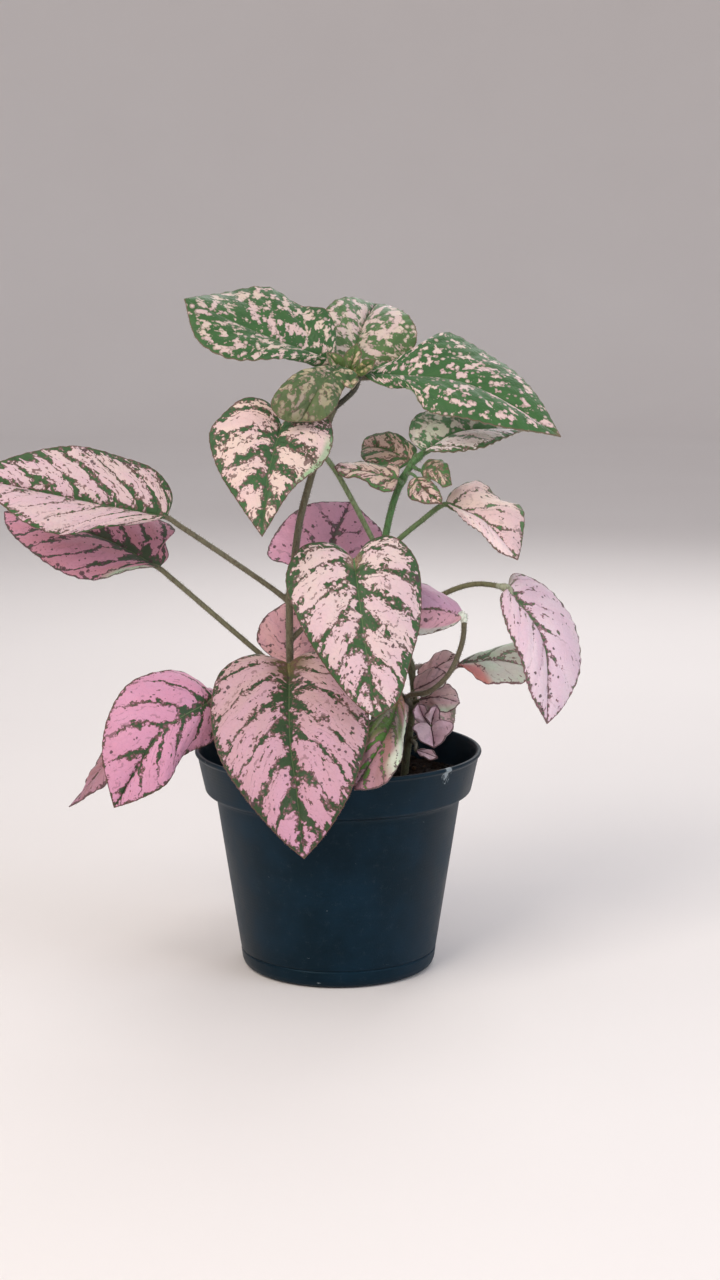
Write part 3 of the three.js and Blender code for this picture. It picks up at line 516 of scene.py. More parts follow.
# The pale scuff on the front of the rim, and how far it is squashed in height
RIM_SCUFF = (37, -33, 75.5)
SCUFF_SQUASH = (1.0, 1.0, 0.55)
SOIL_LEVEL = 66
SOIL_GAP = 0.3
SOIL_UNEVEN = 0.7
SOIL_HILLS = 0.3
SOIL_LUMPS = 14
LUMP_WAVES = 0.9
LUMP_STARTS = (0, 6.3)
LUMP_HEIGHTS = (0.04, 0.16)
SOIL_GRIT = 0.14
SOIL_RING_STEP = 0.9
CRUMBS = 900
CRUMB_MARGIN = 1.4
CRUMB_SIZE = 1.9
CRUMB_LIFT = 0.25
# Between which shares a crumb is made smaller, squashed and roughened
CRUMB_SHARES = (0.35, 1.0)
CRUMB_SQUASHES = (0.45, 1.0)
CRUMB_BUMPS = (0.75, 1.15)

# Stems, stalks and hairs, in mm
NODE_SWELL = 0.42
NODE_LENGTH = 1.7
STEM_FOOT_SHARE = 1.08
STEM_TAPER = 0.16
STALK_FLARE = 0.55
STALK_FLARE_LENGTH = 1.8
STALK_RADIUS = 0.95
THIN_STALK_RADIUS = 0.6
STALK_THINNING = 0.7
THIN_STALKS = (
    "leaf_shoot_back", "leaf_shoot_left", "leaf_shoot_right", "leaf_shoot_front", "leaf_tiny",
    "leaf_low_left_narrow", "leaf_curl_upper", "leaf_curl_middle", "leaf_curl_lower", "rosette",
)
# How much a stalk swells at its leaf, and over what length
SWELLS = {"leaf_folded_right": 0.7, "leaf_right_hanging": 0.7, "rosette": 0.5}
SWELL_LENGTH = 2.2
# How far a stalk runs on under its leaf's rib, and how deep it lies there, in shares of its radius
UNDER_RIB_SHARE = 0.35
UNDER_RIB_STEPS = (0.0, 0.25, 0.6, 1.0)
UNDER_RIB_DEPTHS = (0.5, 0.9, 0.7, 0.4)
TUBE_STEP = 0.8
TUBE_SIDES = 14
TUBE_FEWEST_STEPS = 4
TUBE_SIDE = (0.3, 0.9, 0.1)
SKIN_VOXEL = 0.00027
SKIN_SMOOTHING = 4
STEM_FOOT_HEIGHT = 52
HAIR_RADIUS = 0.045
HAIR_TURNS = (0, 2.094, 4.189)
HAIR_SIDE = (0.31, 0.52, 0.79)
STEM_HAIRS_FROM = SOIL_LEVEL + 0.5
STEM_HAIR_SPREAD = 0.25
STEM_HAIR_LIFT = 0.15
SHORTEST_STEM_HAIR = 0.5
EDGE_HAIR_SPREAD = 0.35
EDGE_HAIR_JITTER = 0.4
EDGE_HAIR_SPAN = (0.03, 0.97)
EDGE_INSIDE = 0.9
SHORTEST_EDGE_HAIR = 0.4

SEED = 7
ROSETTE_SEED = 50
CROWN_SEED = 60

# The leaf pattern: noise and cell scales per mm, and how far they move the green's edge in mm
LAYER_STEP = 9.7
# Three streaky noises, each as its scales from vein to vein and along the veins, its detail and its shift
BROAD_STREAKS = (0.14, 0.09, 1.0, 1.3)
PATCHY_STREAKS = (0.24, 0.15, 2.0, 3.1)
TORN_STREAKS = (0.46, 0.30, 2.0, 5.7)
WANDER = 0.7
LUMP_SCALE = 0.50
LUMP_REACH = 4.4
FINE_SCALE = 1.6
FINE_REACH = 1.8
BLOTCH_WIDTH = 2.7
ROOT_WIDTH = 3.4
STREAK_LEVEL = 0.76
STREAK_REACH = 9.0
COVER_REACH = 7.0
DROP_SCALE = 0.60
DROP_LEVEL = 0.42
BITE_SCALE = 0.52
BITE_SIZE = 0.95
ISLAND_LEVEL = 0.655
ISLAND_REACH = 10.0
SPECK_SCALE = 0.5
SPECK_LEVEL = 0.60
DOT_SCALE = 0.42
DOT_LEVEL = 0.72
NET_SCALE = 0.55
RIB_BLEND = 0.9
BORDER_BLEND = 0.5
UNDER_SHARE = 0.42
DOT_COLOUR = "4E3A3C"
CLOUD_COLOUR = "D3A0C0"
DEEP_GREEN = "1F3A22"
RIB_COLOUR = "7F9A62"
LINE_COLOUR = "2A3A22"


def colour(code):
    """A linear colour with alpha from a six-digit sRGB code."""
    parts = [int(code[place:place + 2], 16) / 255 for place in (0, 2, 4)]
    return [part / 12.92 if part <= 0.04045 else ((part + 0.055) / 1.055) ** 2.4 for part in parts] + [1.0]


def seen(point):
    """The place in mm that a pixel of the camera's frame shows, at a depth behind the pot's axis."""
    column, row, depth = point
    right = (column - CENTRE[0]) / FOCAL
    up = (CENTRE[1] - row) / FOCAL
    away = math.cos(PITCH) + up * math.sin(PITCH)
    climb = up * math.cos(PITCH) - math.sin(PITCH)
    reach = (depth - EYE[1]) / away
    return np.array((EYE[0] + reach * right, depth, EYE[2] + reach * climb))


class Line:
    """A smooth line through points, read by the share of its length."""

    def __init__(self, points):
        points = np.array(points, float)
        points = np.vstack([2 * points[0] - points[1], points, 2 * points[-1] - points[-2]])
        t = np.linspace(0, 1, LINE_STEPS, endpoint=False)[:, None]
        pieces = []
        for before, start, end, after in zip(points, points[1:], points[2:], points[3:]):
            first, middle, last = (
                np.linalg.norm(b - a) ** 0.5 for a, b in ((before, start), (start, end), (end, after)))
            leaving = (start - before) / first - (end - before) / (first + middle) + (end - start) / middle
            arriving = (end - start) / middle - (after - start) / (middle + last) + (after - end) / last
            pieces.append((2 * t**3 - 3 * t**2 + 1) * start + (t**3 - 2 * t**2 + t) * leaving * middle
                          + (3 * t**2 - 2 * t**3) * end + (t**3 - t**2) * arriving * middle)
        self.points = np.vstack([*pieces, points[-2]])
        steps = np.linalg.norm(np.diff(self.points, axis=0), axis=1)
        self.travel = np.concatenate([[0], np.cumsum(steps)])
        self.length = self.travel[-1]

    def at(self, share):
        """The points at shares of the line's length."""
        travel = np.asarray(share) * self.length
        return np.stack([np.interp(travel, self.travel, axis) for axis in self.points.T], -1)


class Blade:
    """The middle surface of a leaf: s runs from base to tip and v from the left edge, -1, to the right, 1."""

    def __init__(self, leaf, seed):
        rib, left, right = leaf
        ways = (rib, [rib[0], *left, rib[-1]], [rib[0], *right, rib[-1]])
        self.spine, self.left, self.right = (Line([seen(point) for point in way]) for way in ways)
        self.seed = seed
        self.veins = int(np.clip(round(self.spine.length / VEIN_SPACING), FEWEST_VEINS, MOST_VEINS))
        self.spacing = self.spine.length / self.veins

    def flat(self, s, v):
        """The place in mm on the plain blade, without its camber and its relief."""
        middle = self.spine.at(s**VEIN_SWEEP)
        edge = np.where((v < 0)[..., None], self.left.at(s), self.right.at(s))
        return middle + np.abs(v)[..., None] * (edge - middle)

    def normal(self, s, v):
        """The direction out of the plain blade's upper side."""
        row = np.clip(s, NORMAL_REACH, 1 - NORMAL_REACH)
        column = np.clip(v, NORMAL_REACH - 1, 1 - NORMAL_REACH)
        across = self.flat(row, column + NORMAL_REACH) - self.flat(row, column - NORMAL_REACH)
        along = self.flat(row + NORMAL_REACH, column) - self.flat(row - NORMAL_REACH, column)
        normal = np.cross(across, along)
        return normal / np.linalg.norm(normal, axis=-1, keepdims=True)

    def width(self, s, v):
        """The width in mm of the half that v lies in."""
        return np.linalg.norm(self.flat(s, np.sign(v)) - self.flat(s, 0 * v), axis=-1)

    def phase(self, s, v):
        """Counts the side veins from the base, with each vein at a half."""
        lean = VEIN_LEAN * np.clip((1 - s) * LEAN_FADE, 0, 1)
        leaning = s - lean * np.abs(v) ** VEIN_BEND
        stagger = VEIN_STAGGER * np.clip(STAGGER_CHANGE * v, -1, 1)
        return self.veins * leaning + stagger + VEIN_START * self.seed % 1

    def from_vein(self, s, v):
        """The distance to the nearest side vein, in mm."""
        phase = self.phase(s, v)
        return np.abs(phase - np.floor(phase) - 0.5) * self.spacing

    def relief(self, s, v):
        """How far the blade stands above its plain form: sunk at veins, domed between, crimped outside."""
        outward = np.abs(v)
        across = outward * self.width(s, v)
        taper = np.sin(np.pi * s)
        rib = -RIB_SINK * np.exp(-((across / RIB_SINK_WIDTH) ** 2)) * taper**0.3
        dome = 1 - np.exp(-((self.from_vein(s, v) / PUFF_WIDTH) ** 2))
        puff = PUFF * (dome - 0.5) * np.clip(3 * outward, 0, 1) * (1 - outward**4) * taper
        crimps = self.left.length / CRIMP_LENGTH
        crimp = CRIMP * outward**5 * np.sin(2 * np.pi * crimps * s + 2 * v + self.seed) * taper
        return rib + puff + crimp

    def point(self, s, v):
        """The place in mm on the shaped blade, with its notched edge."""
        outward = np.abs(v)
        width = self.width(s, v)
        taper = np.sin(np.pi * s)
        crown = CAMBER * width * 4 * outward * (1 - outward)
        ripple = WAVE * outward**2 * taper * np.sin(2 * np.pi * WAVES * s + v)
        rise = crown + ripple + self.relief(s, v)
        middle = self.flat(s, 0 * v)
        edge = self.flat(s, np.where(v < 0, -1.0, 1.0))
        span = edge - middle
        outwards = span / np.maximum(np.linalg.norm(span, axis=-1, keepdims=True), 1e-6)
        notches = self.left.length / NOTCH_LENGTH
        bite = np.abs(np.sin(np.pi * notches * s + self.seed)) - NOTCH_LEVEL
        notch = NOTCH * outward**8 * bite * taper**0.5
        return self.flat(s, v) + self.normal(s, v) * rise[..., None] + outwards * notch[..., None]


def only(piece):
    """Select one piece and make it active."""
    bpy.ops.object.select_all(action="DESELECT")
    piece.select_set(True)
    bpy.context.view_layer.objects.active = piece


def named(piece, name):
    """Give a piece and its mesh the same name."""
    piece.name = name
    piece.data.name = name
    return piece


def finish_with(piece, kind, **settings):
    """Add a modifier to a piece and apply it."""
    only(piece)
    modifier = piece.modifiers.new(kind.title(), kind)
    for name, value in settings.items():
        setattr(modifier, name, value)
    bpy.ops.object.modifier_apply(modifier=modifier.name)


def settle(piece, slot, node=None, cover=None):
    """Give a finished piece the material of its slot or of what it covers, its body, and hide the solid that
    it stands for.
    """
    piece.data.materials.clear()
    piece.data.materials.append(materials()[cover or slot])
    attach(piece, "root")
    if node:
        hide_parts(node)
    return piece


def mesh_piece(name, points, faces):
    """A piece from points in mm and faces."""
    mesh = bpy.data.meshes.new(name)
    mesh.from_pydata((np.asarray(points) * MM).tolist(), [], np.asarray(faces).tolist())
    piece = bpy.data.objects.new(name, mesh)
    bpy.context.scene.collection.objects.link(piece)
    return piece


def points_of(piece):
    """The points of a piece in mm."""
    points = np.empty(len(piece.data.vertices) * 3)
    piece.data.vertices.foreach_get("co", points)
    return points.reshape(-1, 3) / MM


def move_points(piece, points):
    """Put the points of a piece at places in mm."""
    piece.data.vertices.foreach_set("co", (points * MM).ravel())
    piece.data.update()


def normals_of(piece):
    """The normals at the points of a piece."""
    normals = np.empty(len(piece.data.vertices) * 3)
    piece.data.vertex_normals.foreach_get("vector", normals)
    return normals.reshape(-1, 3)


def paint(piece, name, kind, values):
    """Keep a number, a vector or a colour on every point of a piece."""
    attribute = piece.data.attributes.new(name, kind, "POINT")
    field = {"FLOAT": "value", "FLOAT_VECTOR": "vector", "FLOAT_COLOR": "color"}[kind]
    attribute.data.foreach_set(field, np.ascontiguousarray(values, dtype=np.float32).ravel())


def blade_grid(name, blade):
    """A grid of even steps laid on a blade, with s and v of its points."""
    rows = int(np.clip(blade.left.length / BLADE_STEP, FEWEST_ROWS, MOST_ROWS))
    breadth = blade.width(np.array([WIDEST_AT, WIDEST_AT]), np.array([-1.0, 1.0])).sum()
    columns = 2 * int(np.clip(breadth / BLADE_STEP, FEWEST_COLUMNS, MOST_COLUMNS) / 2)
    bpy.ops.object.select_all(action="DESELECT")
    bpy.ops.mesh.primitive_grid_add(x_subdivisions=columns, y_subdivisions=rows, size=2)
    piece = named(bpy.context.object, name)
    grid = points_of(piece) * MM
    v, s = grid[:, 0], (grid[:, 1] + 1) / 2
    move_points(piece, blade.point(s, v))
    return piece, s, v


def patches_of(name, blade, s, v):
    """How much each patch and stain of a leaf covers of every point, and its colour."""
    patches = []
    for side, start, near, far, tint in PATCHES.get(name, []):
        share = np.clip((side * v - start) / (1 - start) * PATCH_EDGE, 0, 1)
        share *= np.clip((s - near) * PATCH_FADE, 0, 1) * np.clip((far - s) * PATCH_FADE, 0, 1)
        patches.append((share, colour(tint)))
    if name in STAINS:
        reach, tint = STAINS[name]
        from_base = np.linalg.norm(blade.flat(s, v) - blade.spine.at(0.0), axis=-1)
        patches.append((np.clip(STAIN_STRENGTH * (1 - from_base / reach), 0, 1), colour(tint)))
    return patches


def paint_finish(piece, name, blade, look, s, v):
    """Keep on a blade's points what its pattern reads: places, veins, widths, shares and colours."""
    halves = [dict(zip(LOOK_FIELDS, LOOKS[half])) for half in (look, RIGHT_HALVES.get(name, look))]
    outward = np.abs(v)
    width = blade.width(s, v)
    ones = np.ones_like(s)
    to_tip = np.linalg.norm(blade.flat(s, v) - blade.spine.at(1.0), axis=-1)
    margin = np.minimum((1 - outward) * width, to_tip)
    on_right = np.clip(0.5 + v * width / HALF_BLEND, 0, 1)
    to_end = (s**TIP_BLEND)[:, None]

    def shared(field):
        left, right = (half[field] for half in halves)
        return left + on_right * (right - left)

    def tinted(field):
        left, right = (np.array(colour(half[field])) for half in halves)
        return left + on_right[:, None] * (right - left)

    patches = patches_of(name, blade, s, v)
    plain = 1 - np.clip(sum((share for share, _ in patches), 0 * s), 0, 1)
    rib = shared("rib") * (RIB_END + (1 - RIB_END) * (1 - s) ** RIB_THINNING)
    vein = shared("vein") * (VEIN_WIDTH_AT_BASE - VEIN_LOSS_OUTWARDS * outward - VEIN_LOSS_TO_TIP * s)
    border_fade = np.clip((1 - s) * BORDER_FADE, 0, 1)
    border = shared("margin") * plain * (BORDER_END + (1 - BORDER_END) * border_fade)
    vectors = {
        "place": (v * width, s * blade.spine.length, margin),
        "vein": (blade.phase(s, v), blade.spacing * ones, blade.seed * ones),
        "widths": (rib, vein, border),
        "cover": (shared("cover"), shared("islands"), shared("dots")),
    }
    for field, parts in vectors.items():
        paint(piece, field, "FLOAT_VECTOR", np.stack(parts, -1))
    paint(piece, "lines", "FLOAT", shared("lines") * plain)
    for field in ("ground", "green"):
        start, end = tinted(field), tinted(field + "_tip")
        tint = start + to_end * (end - start)
        for share, patch in patches:
            tint = tint + share[:, None] * (patch - tint)
        paint(piece, field, "FLOAT_COLOR", tint)


def blade_piece(name, leaf, look, seed, thickness):
    """A soft blade of even thickness, with its veins in relief and the fields that its pattern reads."""
    blade = Blade(leaf, seed)
    piece, s, v = blade_grid(name + "_blade", blade)
    paint_finish(piece, name, blade, look, s, v)
    only(piece)
    bpy.ops.object.mode_set(mode="EDIT")
    bpy.ops.mesh.select_all(action="SELECT")
    bpy.ops.mesh.remove_doubles(threshold=1e-6)
    bpy.ops.object.mode_set(mode="OBJECT")

    before, normals = points_of(piece), normals_of(piece)
    finish_with(piece, "SOLIDIFY", thickness=thickness, offset=0)
    after = points_of(piece)
    first_is_upper = ((after[:len(before)] - before) * normals).sum() > 0
    is_first = np.arange(len(after)) < len(before)
    paint(piece, "under", "FLOAT", is_first != first_is_upper)
    only(piece)
    bpy.ops.object.shade_smooth_by_angle(angle=BLADE_CREASE)
    return piece


def blade_bunch(name, leaves, look, first_seed, thickness):
    """Small blades joined in one piece."""
    blades = [blade_piece(f"{name}_part{index}", leaf, look, first_seed + index, thickness)
              for index, leaf in enumerate(leaves)]
    only(blades[0])
    for blade in blades:
        blade.select_set(True)
    bpy.ops.object.join()
    return named(bpy.context.object, name)


class Value:
    """What a shader node puts out, which takes part in sums and products."""

    def __init__(self, graph, socket):
        self.graph = graph
        self.socket = socket

    def __add__(self, other):
        return self.graph.math("ADD", self, other)

    def __sub__(self, other):
        return self.graph.math("SUBTRACT", self, other)

    def __rsub__(self, other):
        return self.graph.math("SUBTRACT", other, self)

    def __mul__(self, other):
        return self.graph.math("MULTIPLY", self, other)

    def __truediv__(self, other):
        return self.graph.math("DIVIDE", self, other)

    def __abs__(self):
        return self.graph.math("ABSOLUTE", self)


class Graph:
    """Adds shader nodes to a tree and joins them."""

    # Where a colour mix takes its share and its two colours, and where it puts out the mixed colour
    MIX_INPUTS = (0, 6, 7)
    MIX_RESULT = 2

    def __init__(self, tree):
        self.tree = tree

    def add(self, kind, **settings):
        node = self.tree.nodes.new("ShaderNode" + kind)
        for name, value in settings.items():
            setattr(node, name, value)
        return node

    def feed(self, socket, value):
        """Join a value to a socket, or set a plain one."""
        if isinstance(value, Value):
            self.tree.links.new(value.socket, socket)
        else:
            socket.default_value = value

    def fill(self, node, values):
        """Feed the named inputs of a node."""
        for name, value in values.items():
            self.feed(node.inputs[name], value)

    def feed_first(self, node, *values):
        """Feed the first inputs of a node in their order."""
        for socket, value in zip(node.inputs, values):
            self.feed(socket, value)

    def math(self, operation, *values):
        node = self.add("Math", operation=operation)
        self.feed_first(node, *values)
        return Value(self, node.outputs[0])

    def scaled(self, vector, size):
        """A vector times a number or another vector."""
        node = self.add("VectorMath", operation="MULTIPLY")
        self.feed_first(node, vector, size if isinstance(size, tuple) else (size,) * 3)
        return Value(self, node.outputs[0])

    def distance(self, first, second):
        node = self.add("VectorMath", operation="DISTANCE")
        self.feed_first(node, first, second)
        return Value(self, node.outputs["Value"])

    def parts(self, vector):
        node = self.add("SeparateXYZ")
        self.feed_first(node, vector)
        return [Value(self, output) for output in node.outputs]

    def joined(self, x, y, z):
        node = self.add("CombineXYZ")
        self.feed_first(node, x, y, z)
        return Value(self, node.outputs[0])

    def mix(self, share, first, second):
        """The first colour, with a share of the second."""
        node = self.add("Mix", data_type="RGBA")
        for index, value in zip(self.MIX_INPUTS, (share, first, second)):
            self.feed(node.inputs[index], value)
        return Value(self, node.outputs[self.MIX_RESULT])

    def ramp(self, value, low, high, start=0.0, end=1.0):
        """A smooth step from start at low to end at high."""
        node = self.add("MapRange", interpolation_type="SMOOTHSTEP")
        self.feed_first(node, value, low, high, start, end)
        return Value(self, node.outputs[0])

    def noise(self, place, scale, detail=2.0, roughness=0.5):
        node = self.add("TexNoise")
        self.fill(node, {"Vector": place, "Scale": scale, "Detail": detail, "Roughness": roughness})
        return Value(self, node.outputs[0])

    def cells(self, place, scale):
        """Round cells: the distance from the nearest middle, and three random numbers for each cell."""
        node = self.add("TexVoronoi")
        self.fill(node, {"Vector": place, "Scale": scale})
        return Value(self, node.outputs["Distance"]), self.parts(Value(self, node.outputs["Color"]))

    def cell_edges(self, place, scale):
        """The distance from the edges between cells."""
        node = self.add("TexVoronoi", feature="DISTANCE_TO_EDGE")
        self.fill(node, {"Vector": place, "Scale": scale})
        return Value(self, node.outputs["Distance"])

    def attribute(self, name, output="Vector"):
        return Value(self, self.add("Attribute", attribute_name=name).outputs[output])

    def object_mm(self):
        """Object coordinates in mm."""
        return self.scaled(Value(self, self.add("TexCoord").outputs["Object"]), 1 / MM)


def new_group(name, inputs, outputs):
    """A node group with inputs and outputs by name and kind: its tree, its graph and both of its ends."""
    tree = bpy.data.node_groups.new(name, "ShaderNodeTree")
    for way, sockets in (("INPUT", inputs), ("OUTPUT", outputs)):
        for label, kind in sockets.items():
            tree.interface.new_socket(label, in_out=way, socket_type="NodeSocket" + kind)
    graph = Graph(tree)
    start = tree.nodes.new("NodeGroupInput")
    end = tree.nodes.new("NodeGroupOutput")
    given = [Value(graph, start.outputs[label]) for label in inputs]
    return tree, graph, given, end


def leaf_pattern():
    """Ragged green along the veins, pale islands in it, dark dots and a thin dark edge, all in mm."""
    tree, g, (edge, underside, raggedness), end = new_group(
        "leaf pattern", {"Edge Colour": "Color", "Underside": "Color", "Raggedness": "Float"},
        {"Color": "Color", "Roughness": "Float", "Height": "Float"})
    place = g.object_mm()
    across, along, margin = g.parts(g.attribute("place"))
    phase, spacing, seed = g.parts(g.attribute("vein"))
    rib, vein, border = g.parts(g.attribute("widths"))
    cover, islands, dots = g.parts(g.attribute("cover"))
    ground, green = g.attribute("ground", "Color"), g.attribute("green", "Color")
    lines, under = g.attribute("lines", "Fac"), g.attribute("under", "Fac")

    # Noises that are stretched along the side veins, with another layer of each for every leaf
    from_vein_to_vein = phase * spacing
    layer = seed * LAYER_STEP

    def streaks(vein_scale, across_scale, detail, shift):
        spot = g.joined(from_vein_to_vein * vein_scale, across * across_scale, layer + shift)
        return g.noise(spot, 1.0, detail, 0.6)

    broad = streaks(*BROAD_STREAKS)
    patchy = streaks(*PATCHY_STREAKS)
    torn = streaks(*TORN_STREAKS)
    splashes = g.noise(g.joined(along * 0.36 + abs(across) * 0.12, across * 0.24, layer), 1.0, 2.0, 0.6)
    lumpy = g.noise(place, LUMP_SCALE, 2.0, 0.55)
    fine = g.noise(place, FINE_SCALE, 2.0)

    # Distances in mm from the rib and the side veins, which wander a little
    from_rib = abs(across)
    wander = (broad - 0.5) * WANDER
    wave = (g.noise(place, 0.26, 3.0, 0.6) - 0.5) * 5.0 / spacing
    turn = phase + wander + wave
    from_vein = abs(g.math("FRACT", turn) - 0.5) * spacing
    from_minor = abs(g.math("FRACT", turn * 3.0 + wander * 4.0) - 0.5) * (spacing / 3.0)

    # The green: a ragged band on the rib, blotches on the side veins, streaks between them and the margin.
    # The gap is the distance from the green's edge, less than zero in the green.
    rib_gap = from_rib - rib * g.ramp(patchy, 0.35, 0.65, 0.6, 1.5)
    near_rib = g.ramp(from_rib, 2.0, 10.0, 0.12, -0.02)
    blotch = vein * BLOTCH_WIDTH * g.ramp(patchy + near_rib, 0.41, 0.57)
    root = g.ramp(from_rib, rib, rib * ROOT_WIDTH, 1.1, 0.0)
    root = root * (g.ramp(vein, 0.0, 0.4) * g.ramp(rib, 0.4, 1.8))
    vein_gap = from_vein - (blotch + root + 0.06) + g.ramp(vein, 0.0, 0.3, 3.0, 0.0)
    streak_gap = (STREAK_LEVEL - vein * 0.12 - torn) * STREAK_REACH
    border_gap = margin - border * g.ramp(torn, 0.36, 0.62, 0.3, 2.3)
    gap = g.math("SMOOTH_MIN", rib_gap, vein_gap, RIB_BLEND)
    gap = g.math("SMOOTH_MIN", gap, border_gap, BORDER_BLEND)
    gap = g.math("MINIMUM", gap, streak_gap)
    ragged = (lumpy - 0.5) * LUMP_REACH + (fine - 0.5) * FINE_REACH
    ragged = ragged * g.ramp(spacing, 1.0, 8.0, 0.1, 1.0)
    gap = gap + ragged * raggedness - cover * COVER_REACH

    # Round drops of green beyond its edge, and round bites in it
    from_drop, chance = g.cells(place, DROP_SCALE)
    drop_gap = from_drop / DROP_SCALE - (chance[0] - DROP_LEVEL) + g.ramp(gap, 0.4, 1.5, 0.0, 1.6)
    gap = g.math("MINIMUM", gap, drop_gap)
    from_bite, chance = g.cells(place, BITE_SCALE)
    bite_gap = chance[1] * BITE_SIZE - from_bite / BITE_SCALE - g.ramp(gap, -2.6, -0.9, 1.6, 0.0)
    gap = g.math("MAXIMUM", gap, bite_gap)

    # Pale islands and specks in the green
    level = ISLAND_LEVEL - islands * 0.16
    barrier = g.ramp(from_rib, 0.3, 2.0, 0.06, 0.0) + g.ramp(margin, 0.3, 2.4, 0.10, 0.0)
    island_gap = (splashes - level - barrier) * ISLAND_REACH + (lumpy + fine - 1.0) * 1.6
    from_speck, chance = g.cells(place, SPECK_SCALE)
    speck_size = chance[0] * 1.3 - SPECK_LEVEL - g.ramp(islands, 0.0, 0.2, 0.6, 0.0)
    speck_gap = speck_size - from_speck * 2.0 + (patchy - 0.5) * 1.2 - g.ramp(from_rib, 0.2, 0.8, 0.5, 0.0)
    gap = g.math("MAXIMUM", gap, g.math("MAXIMUM", island_gap, speck_gap))

    # The ground, with lilac clouds, a faint net and broken dark lines on the veins
    clouds = g.mix(0.5, ground, colour(CLOUD_COLOUR))
    shade = g.mix(g.ramp(broad, 0.35, 0.65, 0.0, 0.5), ground, clouds)
    net = g.cell_edges(place, NET_SCALE)
    shade = g.mix(g.ramp(net, 0.0, 0.07, 0.08, 0.0), shade, edge)
    breadth = g.ramp(lumpy, 0.38, 0.66, -0.16, 0.50)
    vein_line = g.ramp(from_vein - breadth, -0.05, 0.18, 0.9, 0.0)
    minor_line = g.ramp(from_minor - (breadth - 0.16), -0.05, 0.16, 0.8, 0.0)
    shade = g.mix(g.math("MAXIMUM", vein_line, minor_line * lines) * lines, shade, edge)

    # The green itself, darker in patches and paler on the rib, with a brown edge where it meets the ground
    deep = g.mix(0.6, green, colour(DEEP_GREEN))
    leaf_green = g.mix(g.ramp(patchy, 0.3, 0.7, 0.0, 0.5), green, deep)
    light_rib = g.ramp(from_rib, 0.08, 0.3, 0.35, 0.0) * g.ramp(rib, 0.3, 1.2, 0.4, 1.0)
    leaf_green = g.mix(light_rib, leaf_green, colour(RIB_COLOUR))
    edge_share = g.ramp(gap, 0.08, 0.42, 0.9, 0.0) * g.ramp(cover, 0.0, 1.0, 1.0, 0.55)
    shade = g.mix(edge_share, shade, edge)
    shade = g.mix(g.ramp(gap, -0.34, 0.0, 1.0, 0.0), shade, leaf_green)
    shade = g.mix(vein_line * lines * 0.45, shade, colour(LINE_COLOUR))

    # Dark dots on the ground
    from_dot, chance = g.cells(place, DOT_SCALE)
    dot_size = chance[1] + dots - DOT_LEVEL + (patchy - 0.5) * 1.4 + g.ramp(margin, 0.5, 4.0, 0.22, -0.06)
    dot_gap = dot_size - from_dot * 2.4 + (fine - 0.5) * 0.9
    dot_share = g.ramp(dot_gap, -0.05, 0.12, 0.0, 0.9) * g.ramp(dots, 0.0, 0.05)
    shade = g.mix(dot_share, shade, colour(DOT_COLOUR))

    # The dark edge, and the paler underside
    shade = g.mix(g.ramp(margin, 0.14, 0.42, 0.9, 0.0), shade, edge)
    shade = g.mix(under * UNDER_SHARE, shade, underside)
    g.fill(end, {"Color": shade, "Roughness": g.ramp(torn, 0.3, 0.7, 0.46, 0.62),
                 "Height": g.ramp(net, 0.0, 0.35, 0.0, 0.6) + fine * 0.35})
    return tree


def new_material(name):
    """A material with an empty tree, its graph and its shader."""
    material = bpy.data.materials.new(name)
    material.use_nodes = True
    material.node_tree.nodes.clear()
    graph = Graph(material.node_tree)
    shader = graph.add("BsdfPrincipled")
    graph.fill(graph.add("OutputMaterial"), {"Surface": Value(graph, shader.outputs["BSDF"])})
    return material, graph, shader


def bump(graph, shader, height, distance):
    """Give a shader fine relief from a height, over a distance in m."""
    node = graph.add("Bump")
    graph.fill(node, {"Distance": distance, "Height": height})
    graph.fill(shader, {"Normal": Value(graph, node.outputs["Normal"])})


def leaf_material(name, pattern, edge, underside, raggedness):
    """Soft leaf skin with the shared pattern."""
    material, g, shader = new_material(name)
    group = g.add("Group", node_tree=pattern)
    g.fill(group, {"Edge Colour": colour(edge), "Underside": colour(underside), "Raggedness": raggedness})
    shade, roughness, height = (Value(g, output) for output in group.outputs)
    g.fill(shader, {
        "Base Color": shade, "Roughness": roughness, "Specular IOR Level": 0.32,
        "Subsurface Weight": 0.12, "Subsurface Radius": (1.0, 0.5, 0.35), "Subsurface Scale": 0.0012,
        "Sheen Weight": 0.12, "Sheen Roughness": 0.5,
    })
    bump(g, shader, height, 0.00012)
    return material


def stem_material(name):
    """Soft stem skin: its own tint, darker flecks and fine grooves."""
    material, g, shader = new_material(name)
    place = g.object_mm()
    tint = g.attribute("tint", "Color")
    flecks = g.noise(g.scaled(place, (1.0, 1.0, 0.35)), 1.3, 3.0, 0.6)
    shade = g.mix(g.ramp(flecks, 0.42, 0.7, 0.0, 0.7), tint, g.mix(0.75, tint, colour("3A2E26")))
    shade = g.mix(g.ramp(g.noise(place, 3.0), 0.5, 0.75, 0.0, 0.3), shade, colour("A9A98A"))
    g.fill(shader, {
        "Base Color": shade, "Roughness": g.ramp(flecks, 0.3, 0.7, 0.5, 0.68), "Specular IOR Level": 0.35,
        "Subsurface Weight": 0.1, "Subsurface Scale": 0.001, "Sheen Weight": 0.2,
    })
    bump(g, shader, g.noise(g.scaled(place, (1.0, 1.0, 0.2)), 2.6, 3.0), 0.00012)
    return material


